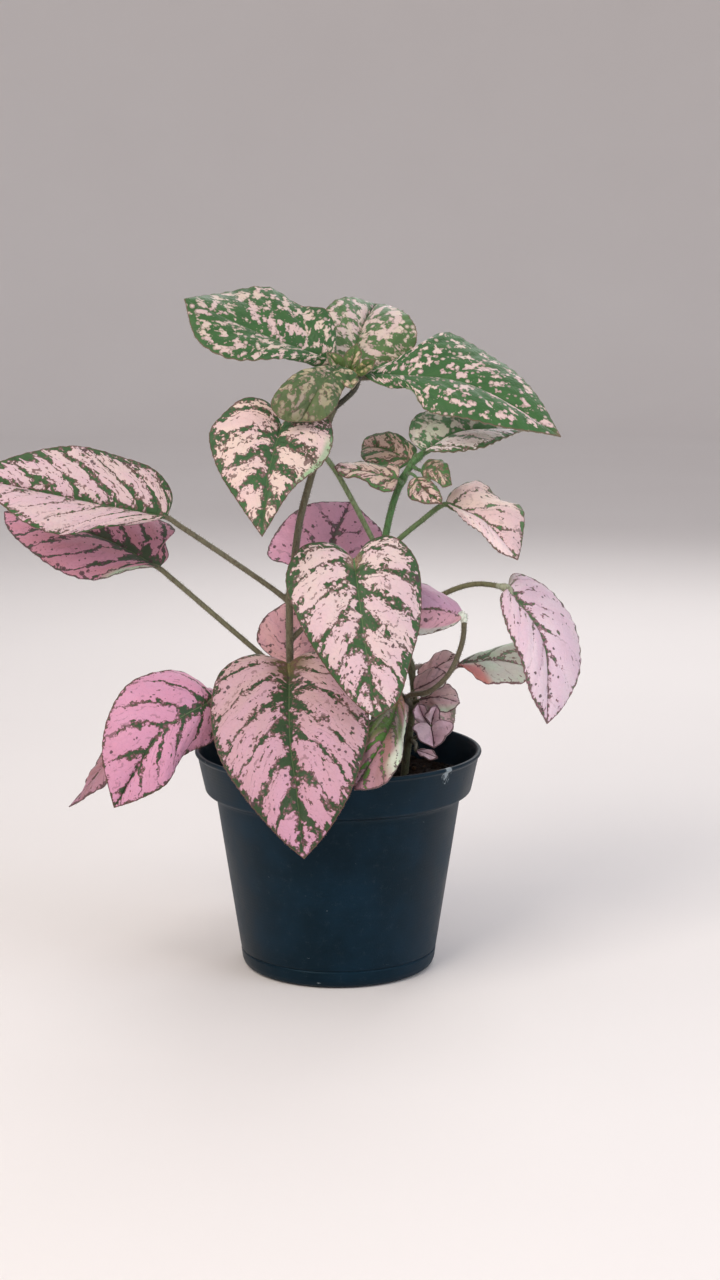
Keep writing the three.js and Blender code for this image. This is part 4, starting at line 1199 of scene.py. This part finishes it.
def plastic_material():
    """Thin moulded plastic: satin, with dust, faint flow marks and a few pale scuffs."""
    material, g, shader = new_material("pot plastic")
    place = g.object_mm()
    cloudy = g.noise(place, 0.045, 3.0, 0.55)
    grain = g.noise(place, 2.2)
    shade = g.mix(g.ramp(cloudy, 0.35, 0.7), colour("081A25"), colour("0D2433"))
    dust = g.ramp(g.noise(place, 0.35, 5.0, 0.7), 0.52, 0.78) * g.ramp(grain, 0.35, 0.7)
    shade = g.mix(dust * 0.12, shade, colour("6C777B"))
    scuffs = g.ramp(g.noise(g.scaled(place, (0.5, 0.5, 1.4)), 0.5, 4.0, 0.7), 0.70, 0.76, 0.0, 0.55)
    squashed_scuff = tuple(part * squash for part, squash in zip(RIM_SCUFF, SCUFF_SQUASH))
    from_scuff = g.distance(g.scaled(place, SCUFF_SQUASH), squashed_scuff)
    worn = from_scuff + g.noise(place, 0.7, 4.0, 0.7) * 7.0
    scuffs = g.math("MAXIMUM", scuffs, g.ramp(worn, 4.6, 5.6, 0.75, 0.0))
    g.fill(shader, {
        "Base Color": g.mix(scuffs, shade, colour("9DA8AD")),
        "Roughness": g.ramp(cloudy, 0.3, 0.7, 0.38, 0.5) + dust * 0.25,
        "Specular IOR Level": 0.18, "Specular Tint": colour("B4DCF0"),
    })
    height_up = g.parts(place)[2]
    bump(g, shader, g.math("SINE", height_up * 5.5) * 0.08 + grain * 0.5, 0.00006)
    return material


def soil_material():
    """Dark damp potting mix with brown fibres and lighter grains."""
    material, g, shader = new_material("potting mix")
    place = g.object_mm()
    _, chance = g.cells(place, 0.55)
    shade = g.mix(chance[0], colour("14110F"), colour("2B221B"))
    shade = g.mix(g.ramp(chance[1], 0.9, 0.97, 0.0, 0.7), shade, colour("5B4632"))
    shade = g.mix(g.ramp(g.noise(place, 1.8, 4.0, 0.7), 0.45, 0.75, 0.0, 0.6), shade, colour("0D0B0A"))
    g.fill(shader, {"Base Color": shade, "Roughness": g.ramp(chance[0], 0.0, 1.0, 0.75, 0.95),
                    "Specular IOR Level": 0.25})
    bump(g, shader, g.noise(place, 1.1, 5.0, 0.7), 0.0006)
    return material


def hair_material():
    """Dull pale brown hairs."""
    material, g, shader = new_material("plant hairs")
    shade = g.mix(g.noise(g.object_mm(), 0.5, 1.0), colour("6E6250"), colour("8C8068"))
    g.fill(shader, {"Base Color": shade, "Roughness": 0.6})
    return material


def floor_material():
    """Plain pale studio paper."""
    material, g, shader = new_material("studio paper")
    place = g.object_mm()
    shade = g.mix(g.noise(place, 0.004), colour("EDE8E6"), colour("F2EEEC"))
    g.fill(shader, {"Base Color": shade, "Roughness": 0.85, "Specular IOR Level": 0.15})
    bump(g, shader, g.noise(place, 0.8, 3.0), 0.00004)
    return material


@cache
def materials():
    """Every material by its slot or by what it covers, made once and shared."""
    pattern = leaf_pattern()
    return {
        "leaf_green": leaf_material("green leaf", pattern, "6A5446", "B4C2A0", 1.0),
        "leaf_pink": leaf_material("pink leaf", pattern, "60403A", "CDBBB2", 1.0),
        "leaf_mauve": leaf_material("mauve leaf", pattern, "573A40", "B8A2A4", 0.9),
        "leaf_pale": leaf_material("pale leaf", pattern, "7A4F58", "D8D0D0", 0.75),
        "stem_green": stem_material("young stem skin"),
        "stem_brown_green": stem_material("old stem skin"),
        "pot_plastic": plastic_material(),
        "potting_mix": soil_material(),
        "hairs": hair_material(),
        "floor": floor_material(),
    }


def rounded(profile, radius, steps=3):
    """The same profile with every corner between its ends rounded."""
    points = np.array(profile, float)
    out = [points[0]]
    for before, corner, after in zip(points, points[1:], points[2:]):
        back, on = before - corner, after - corner
        lengths = np.linalg.norm(back), np.linalg.norm(on)
        cut = min(radius, lengths[0] * ROUNDING_SHARE, lengths[1] * ROUNDING_SHARE)
        start, end = corner + back / lengths[0] * cut, corner + on / lengths[1] * cut
        for t in np.linspace(0, 1, steps + 1):
            out.append((1 - t) ** 2 * start + 2 * t * (1 - t) * corner + t**2 * end)
    out.append(points[-1])
    return out


def turned(name, profile, sides, is_open=False):
    """A form about the pot's axis: a round face, extruded and resized along (radius, height) points in mm."""
    (radius, height), *others = profile
    bpy.ops.object.select_all(action="DESELECT")
    bpy.ops.mesh.primitive_circle_add(vertices=sides, radius=radius * MM, fill_type="NGON",
                                      enter_editmode=True)
    piece = bpy.context.object
    bpy.ops.transform.translate(value=(0, 0, height * MM))
    for next_radius, next_height in others:
        rise = (0, 0, (next_height - height) * MM)
        share = next_radius / radius
        bpy.ops.mesh.extrude_region_move(TRANSFORM_OT_translate={"value": rise})
        bpy.ops.transform.resize(value=(share, share, 1), center_override=(0, 0, next_height * MM))
        radius, height = next_radius, next_height
    if is_open:
        bpy.ops.mesh.delete(type="ONLY_FACE")
    bpy.ops.mesh.select_all(action="SELECT")
    bpy.ops.mesh.normals_make_consistent(inside=is_open)
    bpy.ops.object.mode_set(mode="OBJECT")
    return named(piece, name)


def make_pot():
    """The nursery pot: a turned shell with drain holes cut in its floor."""
    outside = [
        (0, FOOT_LIFT), (FOOT_RADIUS - 2.5, FOOT_LIFT), (FOOT_RADIUS - 1.8, 0), (FOOT_RADIUS, 0),
        (FOOT_RADIUS + 1.8, 0.9), (FOOT_RADIUS + 2.5, 2.6), (FOOT_RADIUS + 2.9, FOOT_GROOVE_HEIGHT - 0.4),
        (FOOT_RADIUS + 2.5, FOOT_GROOVE_HEIGHT), (FOOT_RADIUS + 3, FOOT_GROOVE_HEIGHT + 0.6),
        (BODY_TOP_RADIUS, SHELF_HEIGHT - 2), (BODY_TOP_RADIUS + 0.7, SHELF_HEIGHT - 0.6),
        (RIM_FOOT_RADIUS - 0.5, SHELF_HEIGHT + 0.5), (RIM_FOOT_RADIUS, SHELF_HEIGHT + 1.2),
        (RIM_RADIUS - 0.9, POT_HEIGHT - 1.8), (RIM_RADIUS - 0.1, POT_HEIGHT - 1.1),
        (RIM_RADIUS, POT_HEIGHT - 0.5), (RIM_RADIUS - 0.4, POT_HEIGHT),
        (RIM_RADIUS - WALL - 0.2, POT_HEIGHT), (RIM_RADIUS - WALL - 0.9, POT_HEIGHT - 1),
        (RIM_FOOT_RADIUS - WALL, SHELF_HEIGHT + 1.8), (BODY_TOP_RADIUS - WALL + 0.4, SHELF_HEIGHT + 0.2),
        (BODY_TOP_RADIUS - WALL, SHELF_HEIGHT - 2), (FOOT_RADIUS + 1.6, FOOT_GROOVE_HEIGHT + 0.6),
        (FOOT_RADIUS + 0.6, FLOOR + 1), (FOOT_RADIUS - 0.8, FLOOR), (0, FLOOR),
    ]
    pot = turned("pot_shell", rounded(outside, POT_ROUNDING)[1:-1], POT_SIDES)
    bpy.ops.object.select_all(action="DESELECT")
    for hole in range(DRAIN_HOLES):
        angle = 2 * math.pi * (hole + 0.5) / DRAIN_HOLES
        place = (DRAIN_CIRCLE * math.cos(angle) * MM, DRAIN_CIRCLE * math.sin(angle) * MM, FLOOR / 2 * MM)
        bpy.ops.mesh.primitive_cylinder_add(vertices=DRAIN_SIDES, radius=DRAIN_RADIUS * MM,
                                            depth=DRAIN_DEPTH * MM, location=place)
        cutter = bpy.context.object
        finish_with(pot, "BOOLEAN", object=cutter, operation="DIFFERENCE", solver="EXACT")
        bpy.data.objects.remove(cutter)
    only(pot)
    bpy.ops.object.shade_smooth_by_angle(angle=POT_CREASE)
    settle(pot, "pot_plastic", "pot")


def soil_lumps():
    """Low waves of the soil's top: their steps across and back, their start and their height."""
    rng = np.random.default_rng(SEED)
    return [(*rng.normal(0, LUMP_WAVES, 2), rng.uniform(*LUMP_STARTS), rng.uniform(*LUMP_HEIGHTS))
            for _ in range(SOIL_LUMPS)]


def soil_height(x, y, lumps):
    """The height of the soil's top at places in mm, with hills and lumps."""
    hill = SOIL_UNEVEN * np.sin(SOIL_HILLS * x) * np.cos(SOIL_HILLS * y)
    return SOIL_LEVEL + hill + sum(size * np.sin(kx * x + ky * y + turn) for kx, ky, turn, size in lumps)


def make_soil():
    """The bed of potting mix that fills the pot, with its loose crumbs on top."""
    inner_top = BODY_TOP_RADIUS - WALL - SOIL_GAP
    top = RIM_FOOT_RADIUS - WALL - SOIL_GAP
    profile = [
        (FOOT_RADIUS - 1.1, FLOOR + SOIL_GAP), (FOOT_RADIUS + 0.2, FLOOR + 1.2),
        (FOOT_RADIUS + 1.2, FOOT_GROOVE_HEIGHT + 0.7), (inner_top, SHELF_HEIGHT - 1.8),
        (inner_top + 0.2, SHELF_HEIGHT + 0.6), (top, SHELF_HEIGHT + 2.3), (top + 0.2, SOIL_LEVEL - 1),
        *((radius, SOIL_LEVEL) for radius in np.arange(top - 1.0, 0, -SOIL_RING_STEP)),
    ]
    soil = turned("soil_bed", profile, POT_SIDES)
    points = points_of(soil)
    lumps = soil_lumps()
    rng = np.random.default_rng(SEED + 1)
    grit = rng.normal(0, SOIL_GRIT, len(points))
    on_top = points[:, 2] > SOIL_LEVEL - 0.1
    points[on_top, 2] = soil_height(points[on_top, 0], points[on_top, 1], lumps) + grit[on_top]
    move_points(soil, points)
    settle(soil, "potting_mix", "soil")
    make_crumbs(top - CRUMB_MARGIN, lumps, rng)


def make_crumbs(reach, lumps, rng):
    """Loose crumbs on the soil, each a squashed and turned ball with an uneven skin."""
    bpy.ops.object.select_all(action="DESELECT")
    bpy.ops.mesh.primitive_ico_sphere_add(subdivisions=1, radius=MM)
    ball = bpy.context.object
    shape = points_of(ball)
    faces = np.array([face.vertices[:] for face in ball.data.polygons])
    bpy.data.objects.remove(ball)
    all_points, all_faces = [], []
    for index in range(CRUMBS):
        radius = reach * math.sqrt(rng.uniform())
        angle = rng.uniform(0, 2 * math.pi)
        size = rng.uniform(*CRUMB_SHARES) ** 2 * CRUMB_SIZE
        squash = rng.uniform(*CRUMB_SQUASHES, 3)
        x, y = radius * math.cos(angle), radius * math.sin(angle)
        z = soil_height(np.array(x), np.array(y), lumps) + CRUMB_LIFT * size
        turn = np.linalg.qr(rng.normal(size=(3, 3)))[0]
        turn = turn * np.sign(np.linalg.det(turn))
        bumpy = shape * rng.uniform(*CRUMB_BUMPS, (len(shape), 1))
        all_points.append(bumpy * squash * size @ turn + (x, y, z))
        all_faces.append(faces + index * len(shape))
    crumbs = mesh_piece("soil_crumbs", np.vstack(all_points), np.vstack(all_faces))
    settle(crumbs, "potting_mix")


def tube(line, radius_at, tint, end_tint, end_length):
    """Points, faces and tinted centres of a closed round tube, with another tint over its last mm."""
    steps = max(TUBE_FEWEST_STEPS, int(line.length / TUBE_STEP))
    travel = np.linspace(0, 1, steps + 1)
    centres = line.at(travel)
    tangents = np.gradient(centres, axis=0)
    tangents /= np.linalg.norm(tangents, axis=1, keepdims=True)
    turns = np.linspace(0, 2 * math.pi, TUBE_SIDES, endpoint=False)[:, None]
    side = np.cross(tangents[0], TUBE_SIDE)
    points = []
    for centre, tangent, share in zip(centres, tangents, travel):
        side = side - tangent * (side @ tangent)
        side = side / np.linalg.norm(side)
        other = np.cross(tangent, side)
        points.append(centre + radius_at(share, centre) * (np.cos(turns) * side + np.sin(turns) * other))
    points = np.vstack([*points, centres[:1], centres[-1:]])
    sides = [(place, (place + 1) % TUBE_SIDES) for place in range(TUBE_SIDES)]
    first, last, last_ring = len(points) - 2, len(points) - 1, steps * TUBE_SIDES
    faces = []
    for ring in range(0, last_ring, TUBE_SIDES):
        for place, following in sides:
            a, b = ring + place, ring + following
            faces.append((a, b, b + TUBE_SIDES))
            faces.append((a, b + TUBE_SIDES, a + TUBE_SIDES))
    for place, following in sides:
        faces.append((first, following, place))
        faces.append((last, last_ring + place, last_ring + following))
    to_go = (1 - travel) * line.length
    samples = [(centre, colour(end_tint if left < end_length else tint))
               for centre, left in zip(centres, to_go)]
    return points, np.array(faces), samples


def stem_tube(stem, radius, tint):
    """The tube of a stem, which swells at its joints."""
    upright = [(*stem["foot"], STEM_FOOT_HEIGHT), (*stem["foot"], SOIL_LEVEL - 1)]
    joints = np.array([seen(joint) for joint in stem["joints"]])

    def width(share, centre):
        near = np.linalg.norm(joints - centre, axis=1).min()
        swell = NODE_SWELL * math.exp(-((near / NODE_LENGTH) ** 2))
        return radius * (STEM_FOOT_SHARE - STEM_TAPER * share) + swell

    return tube(Line([*upright, *(seen(point) for point in stem["path"])]), width, tint, tint, 0)


def stalk_tube(leaf_name, way, stem_tint):
    """The tube of a leaf's stalk, which thins out under the leaf's rib."""
    radius = THIN_STALK_RADIUS if leaf_name in THIN_STALKS else STALK_RADIUS
    points = [seen(point) for point in way]
    under_rib = 0
    if leaf_name == "rosette":
        points.append(seen(BUD))
    else:
        blade = Blade(LEAVES[leaf_name], 0)
        under_rib = UNDER_RIB_SHARE * blade.spine.length
        s = (np.array(UNDER_RIB_STEPS) * UNDER_RIB_SHARE) ** (1 / VEIN_SWEEP)
        depths = radius * np.array(UNDER_RIB_DEPTHS)
        points.extend(blade.point(s, 0 * s) - blade.normal(s, 0 * s) * depths[:, None])
    line = Line(points)
    thin_from = 1 - under_rib / line.length

    def width(share, centre):
        flare = STALK_FLARE * math.exp(-share * line.length / STALK_FLARE_LENGTH)
        thinning = 1 - STALK_THINNING * max(0.0, share - thin_from) / max(1e-6, 1 - thin_from)
        from_base = (share - thin_from) * line.length / SWELL_LENGTH
        swell = SWELLS.get(leaf_name, 0.0) * math.exp(-(from_base**2))
        return radius * thinning + flare * radius + swell

    tint = STALK_COLOURS.get(leaf_name, stem_tint)
    return tube(line, width, tint, STALK_ENDS.get(leaf_name, tint), under_rib + STALK_END_LENGTH)


def make_stem(name, stem, radius):
    """A stem grown together with its stalks: tubes fused into one skin and smoothed."""
    slot, tint = STEM_FINISH[name]
    tubes = [stem_tube(stem, radius, tint)]
    tubes += [stalk_tube(leaf_name, way, tint) for leaf_name, way in stem["stalks"].items()]
    offsets = np.cumsum([0] + [len(points) for points, _, _ in tubes])
    points = np.vstack([points for points, _, _ in tubes])
    faces = np.vstack([faces + offset for (_, faces, _), offset in zip(tubes, offsets)])
    piece = mesh_piece(name + "_skin", points, faces)
    finish_with(piece, "REMESH", mode="VOXEL", voxel_size=SKIN_VOXEL)
    finish_with(piece, "SMOOTH", factor=0.5, iterations=SKIN_SMOOTHING)

    samples = [sample for _, _, tube_samples in tubes for sample in tube_samples]
    tree = KDTree(len(samples))
    for index, (centre, _) in enumerate(samples):
        tree.insert(centre, index)
    tree.balance()
    paint(piece, "tint", "FLOAT_COLOR", [samples[tree.find(point)[1]][1] for point in points_of(piece)])
    only(piece)
    bpy.ops.object.shade_smooth()
    return settle(piece, slot, name)


def make_hairs(name, slot, roots, directions, length, rng, shortest):
    """Three-sided hairs that taper to a point, each from a share of the length up to all of it."""
    roots, directions = np.vstack(roots), np.vstack(directions)
    lengths = length * rng.uniform(shortest, 1.0, len(roots))
    directions = directions / np.linalg.norm(directions, axis=1, keepdims=True)
    side = np.cross(directions, HAIR_SIDE)
    side /= np.linalg.norm(side, axis=1, keepdims=True)
    other = np.cross(directions, side)
    ring = [roots + HAIR_RADIUS * (math.cos(turn) * side + math.sin(turn) * other) for turn in HAIR_TURNS]
    tips = roots + directions * lengths[:, None]
    points = np.stack([*ring, tips], 1).reshape(-1, 3)
    starts = 4 * np.arange(len(roots))[:, None]
    faces = np.vstack([starts + corners for corners in ((0, 1, 3), (1, 2, 3), (2, 0, 3), (0, 2, 1))])
    settle(mesh_piece(name, points, faces), slot, cover="hairs")


def make_stem_hairs(stems, share, length):
    """Short hairs on a share of the points of the stems' skin."""
    rng = np.random.default_rng(SEED + 2)
    roots, directions = [], []
    for stem in stems:
        points, normals = points_of(stem), normals_of(stem)
        above = np.flatnonzero(points[:, 2] > STEM_HAIRS_FROM)
        chosen = rng.choice(above, int(len(above) * share), replace=False)
        spread = rng.normal(0, STEM_HAIR_SPREAD, (len(chosen), 3))
        roots.append(points[chosen])
        directions.append(normals[chosen] + spread + (0, 0, STEM_HAIR_LIFT))
    make_hairs("stem_hairs", "stem_green", roots, directions, length, rng, SHORTEST_STEM_HAIR)


def make_leaf_hairs(spacing, length):
    """Short hairs round every blade's edge."""
    rng = np.random.default_rng(SEED + 3)
    roots, directions = [], []
    for seed, leaf in enumerate(LEAVES.values()):
        blade = Blade(leaf, seed)
        count = int(blade.left.length / spacing)
        for side in (-1.0, 1.0):
            jitter = rng.uniform(-EDGE_HAIR_JITTER, EDGE_HAIR_JITTER, count) / count
            s = np.linspace(*EDGE_HAIR_SPAN, count) + jitter
            edge = blade.point(s, side + 0 * s)
            outwards = edge - blade.point(s, EDGE_INSIDE * side + 0 * s)
            outwards /= np.linalg.norm(outwards, axis=1, keepdims=True)
            roots.append(edge)
            directions.append(outwards + rng.normal(0, EDGE_HAIR_SPREAD, edge.shape))
    make_hairs("leaf_edge_hairs", "leaf_pink", roots, directions, length, rng, SHORTEST_EDGE_HAIR)


def area_light(name, place, size, power, tint):
    """A soft square light that looks at the plant's middle."""
    lamp = bpy.data.lights.new(name, "AREA")
    lamp.size = size
    lamp.energy = power
    lamp.color = colour(tint)[:3]
    light = bpy.data.objects.new(name, lamp)
    light.location = place
    light.rotation_euler = (Vector(LIT_POINT) - Vector(place)).to_track_quat("-Z", "Y").to_euler()
    bpy.context.scene.collection.objects.link(light)


class PlantSizes(bpy.types.PropertyGroup):
    """Sizes of the finer plant, beside its solids."""

    blade_thickness: bpy.props.FloatProperty(
        name="Blade thickness", description="Thickness of every leaf blade", default=0.00045, min=0.0002,
        max=0.0008, unit="LENGTH", precision=5)
    stem_radius: bpy.props.FloatProperty(
        name="Stem radius", description="Radius of the stems between their joints", default=0.0013,
        min=0.0008, max=0.002, unit="LENGTH", precision=5)
    stem_hair_length: bpy.props.FloatProperty(
        name="Stem hair length", description="Longest hair on the stems and stalks", default=0.0008,
        min=0.0, max=0.002, unit="LENGTH", precision=5)
    stem_hair_share: bpy.props.FloatProperty(
        name="Stem hair share", description="Share of the skin's points that bear a hair", default=0.1,
        min=0.0, max=1.0, subtype="FACTOR")
    edge_hair_length: bpy.props.FloatProperty(
        name="Edge hair length", description="Longest hair along the leaf edges", default=0.0007,
        min=0.0, max=0.002, unit="LENGTH", precision=5)
    edge_hair_spacing: bpy.props.FloatProperty(
        name="Edge hair spacing", description="Distance between the hairs along a leaf edge", default=0.0008,
        min=0.0002, max=0.01, unit="LENGTH", precision=5)


class PlantLook(bpy.types.PropertyGroup):
    """Light and backdrop of the studio."""

    world_colour: bpy.props.FloatVectorProperty(
        name="Room light colour", description="Colour of the light from all around", subtype="COLOR", size=3,
        default=(0.95, 0.95, 1.0), min=0.0, max=1.0)
    world_strength: bpy.props.FloatProperty(
        name="Room light strength", description="Strength of the light from all around", default=0.56,
        min=0.0)
    key_power: bpy.props.FloatProperty(
        name="Key light power", description="Power of the large light at the upper left, in watts",
        default=9.0, min=0.0)
    fill_power: bpy.props.FloatProperty(
        name="Fill light power", description="Power of the lights at the right and at the back, in watts",
        default=3.0, min=0.0)


class PLANT_OT_pot(bpy.types.Operator):
    """Add the nursery pot with its rim, foot and drain holes"""

    bl_idname = "plant.pot"
    bl_label = "Nursery pot"

    def execute(self, context):
        make_pot()
        return {"FINISHED"}


class PLANT_OT_soil(bpy.types.Operator):
    """Add the potting mix with its loose crumbs"""

    bl_idname = "plant.soil"
    bl_label = "Potting mix"

    def execute(self, context):
        make_soil()
        return {"FINISHED"}


class PLANT_OT_stems(bpy.types.Operator):
    """Add the three stems with their leaf stalks and hairs"""

    bl_idname = "plant.stems"
    bl_label = "Stems and stalks"

    def execute(self, context):
        sizes = context.scene.plant_sizes
        stems = [make_stem(name, stem, sizes.stem_radius / MM) for name, stem in STEMS.items()]
        make_stem_hairs(stems, sizes.stem_hair_share, sizes.stem_hair_length / MM)
        return {"FINISHED"}


class PLANT_OT_leaves(bpy.types.Operator):
    """Add every leaf blade with its pattern, and the hairs along the edges"""

    bl_idname = "plant.leaves"
    bl_label = "Leaves"

    def execute(self, context):
        sizes = context.scene.plant_sizes
        finish = {name: (look, slot) for slot, looks in LEAF_LOOKS.items() for name, look in looks.items()}
        for seed, (name, leaf) in enumerate(LEAVES.items()):
            look, slot = finish[name]
            settle(blade_piece(name, leaf, look, seed, sizes.blade_thickness), slot, name)
        make_leaf_hairs(sizes.edge_hair_spacing / MM, sizes.edge_hair_length / MM)
        return {"FINISHED"}


class PLANT_OT_rosette(bpy.types.Operator):
    """Add the young shoot of three small leaves, and the tiny leaves at the crown's tip"""

    bl_idname = "plant.rosette"
    bl_label = "Young rosette and crown"

    def execute(self, context):
        thickness = context.scene.plant_sizes.blade_thickness
        rosette = blade_bunch("rosette_blades", ROSETTE, "rosette", ROSETTE_SEED, thickness)
        settle(rosette, "leaf_mauve", "rosette")
        crown = blade_bunch("crown_blades", CROWN, "crown", CROWN_SEED, thickness)
        settle(crown, "leaf_green")
        return {"FINISHED"}


class PLANT_OT_stage(bpy.types.Operator):
    """Add the camera, the soft studio lights and the plain pale floor"""

    bl_idname = "plant.stage"
    bl_label = "Studio"

    def execute(self, context):
        scene, look = context.scene, context.scene.plant_look
        camera = bpy.data.objects.new("camera", bpy.data.cameras.new("camera"))
        camera.data.sensor_width = SENSOR
        camera.data.lens = FOCAL * SENSOR / LONG_SIDE
        camera.data.clip_start = NEAR_CLIP
        camera.location = [part * MM for part in EYE]
        camera.rotation_euler = (math.pi / 2 - PITCH, 0, 0)
        scene.collection.objects.link(camera)
        scene.camera = camera

        for name, (place, size, power, tint) in LIGHTS.items():
            area_light(name, place, size, getattr(look, power), tint)
        world = bpy.data.worlds.new("room")
        world.use_nodes = True
        background = world.node_tree.nodes["Background"]
        background.inputs["Color"].default_value = (*look.world_colour, 1.0)
        background.inputs["Strength"].default_value = look.world_strength
        scene.world = world
        scene.view_settings.view_transform = "Standard"

        curve = [(BACKDROP_FLOOR + BACKDROP_CURVE * math.sin(turn), BACKDROP_CURVE * (1 - math.cos(turn)))
                 for turn in np.linspace(*BACKDROP_TURNS)]
        wall = (BACKDROP_FLOOR + BACKDROP_CURVE, BACKDROP_HEIGHT)
        floor = turned("studio_floor", [(BACKDROP_FLOOR, 0), *curve, wall], BACKDROP_SIDES, is_open=True)
        only(floor)
        bpy.ops.object.shade_smooth()
        floor.data.materials.append(materials()["floor"])
        return {"FINISHED"}


class PLANT_PT_panel(bpy.types.Panel):
    """The plant's operators and sizes in the sidebar"""

    bl_label = "Polka Dot Plant"
    bl_idname = "PLANT_PT_panel"
    bl_space_type = "VIEW_3D"
    bl_region_type = "UI"
    bl_category = "Plant"

    def draw(self, context):
        for operator in OPERATORS:
            self.layout.operator(operator.bl_idname)
        for group in (context.scene.plant_sizes, context.scene.plant_look):
            for name in group.bl_rna.properties.keys():
                if name not in ("rna_type", "name"):
                    self.layout.prop(group, name)


OPERATORS = (PLANT_OT_stage, PLANT_OT_pot, PLANT_OT_soil, PLANT_OT_stems, PLANT_OT_leaves, PLANT_OT_rosette)
CLASSES = (PlantSizes, PlantLook, *OPERATORS, PLANT_PT_panel)


def register():
    for cls in CLASSES:
        bpy.utils.register_class(cls)
    bpy.types.Scene.plant_sizes = bpy.props.PointerProperty(type=PlantSizes)
    bpy.types.Scene.plant_look = bpy.props.PointerProperty(type=PlantLook)


def unregister():
    del bpy.types.Scene.plant_look
    del bpy.types.Scene.plant_sizes
    for cls in reversed(CLASSES):
        bpy.utils.unregister_class(cls)


def main():
    register()
    bpy.ops.plant.stage()
    bpy.ops.plant.pot()
    bpy.ops.plant.soil()
    bpy.ops.plant.stems()
    bpy.ops.plant.leaves()
    bpy.ops.plant.rosette()


if __name__ == "__main__":
    main()
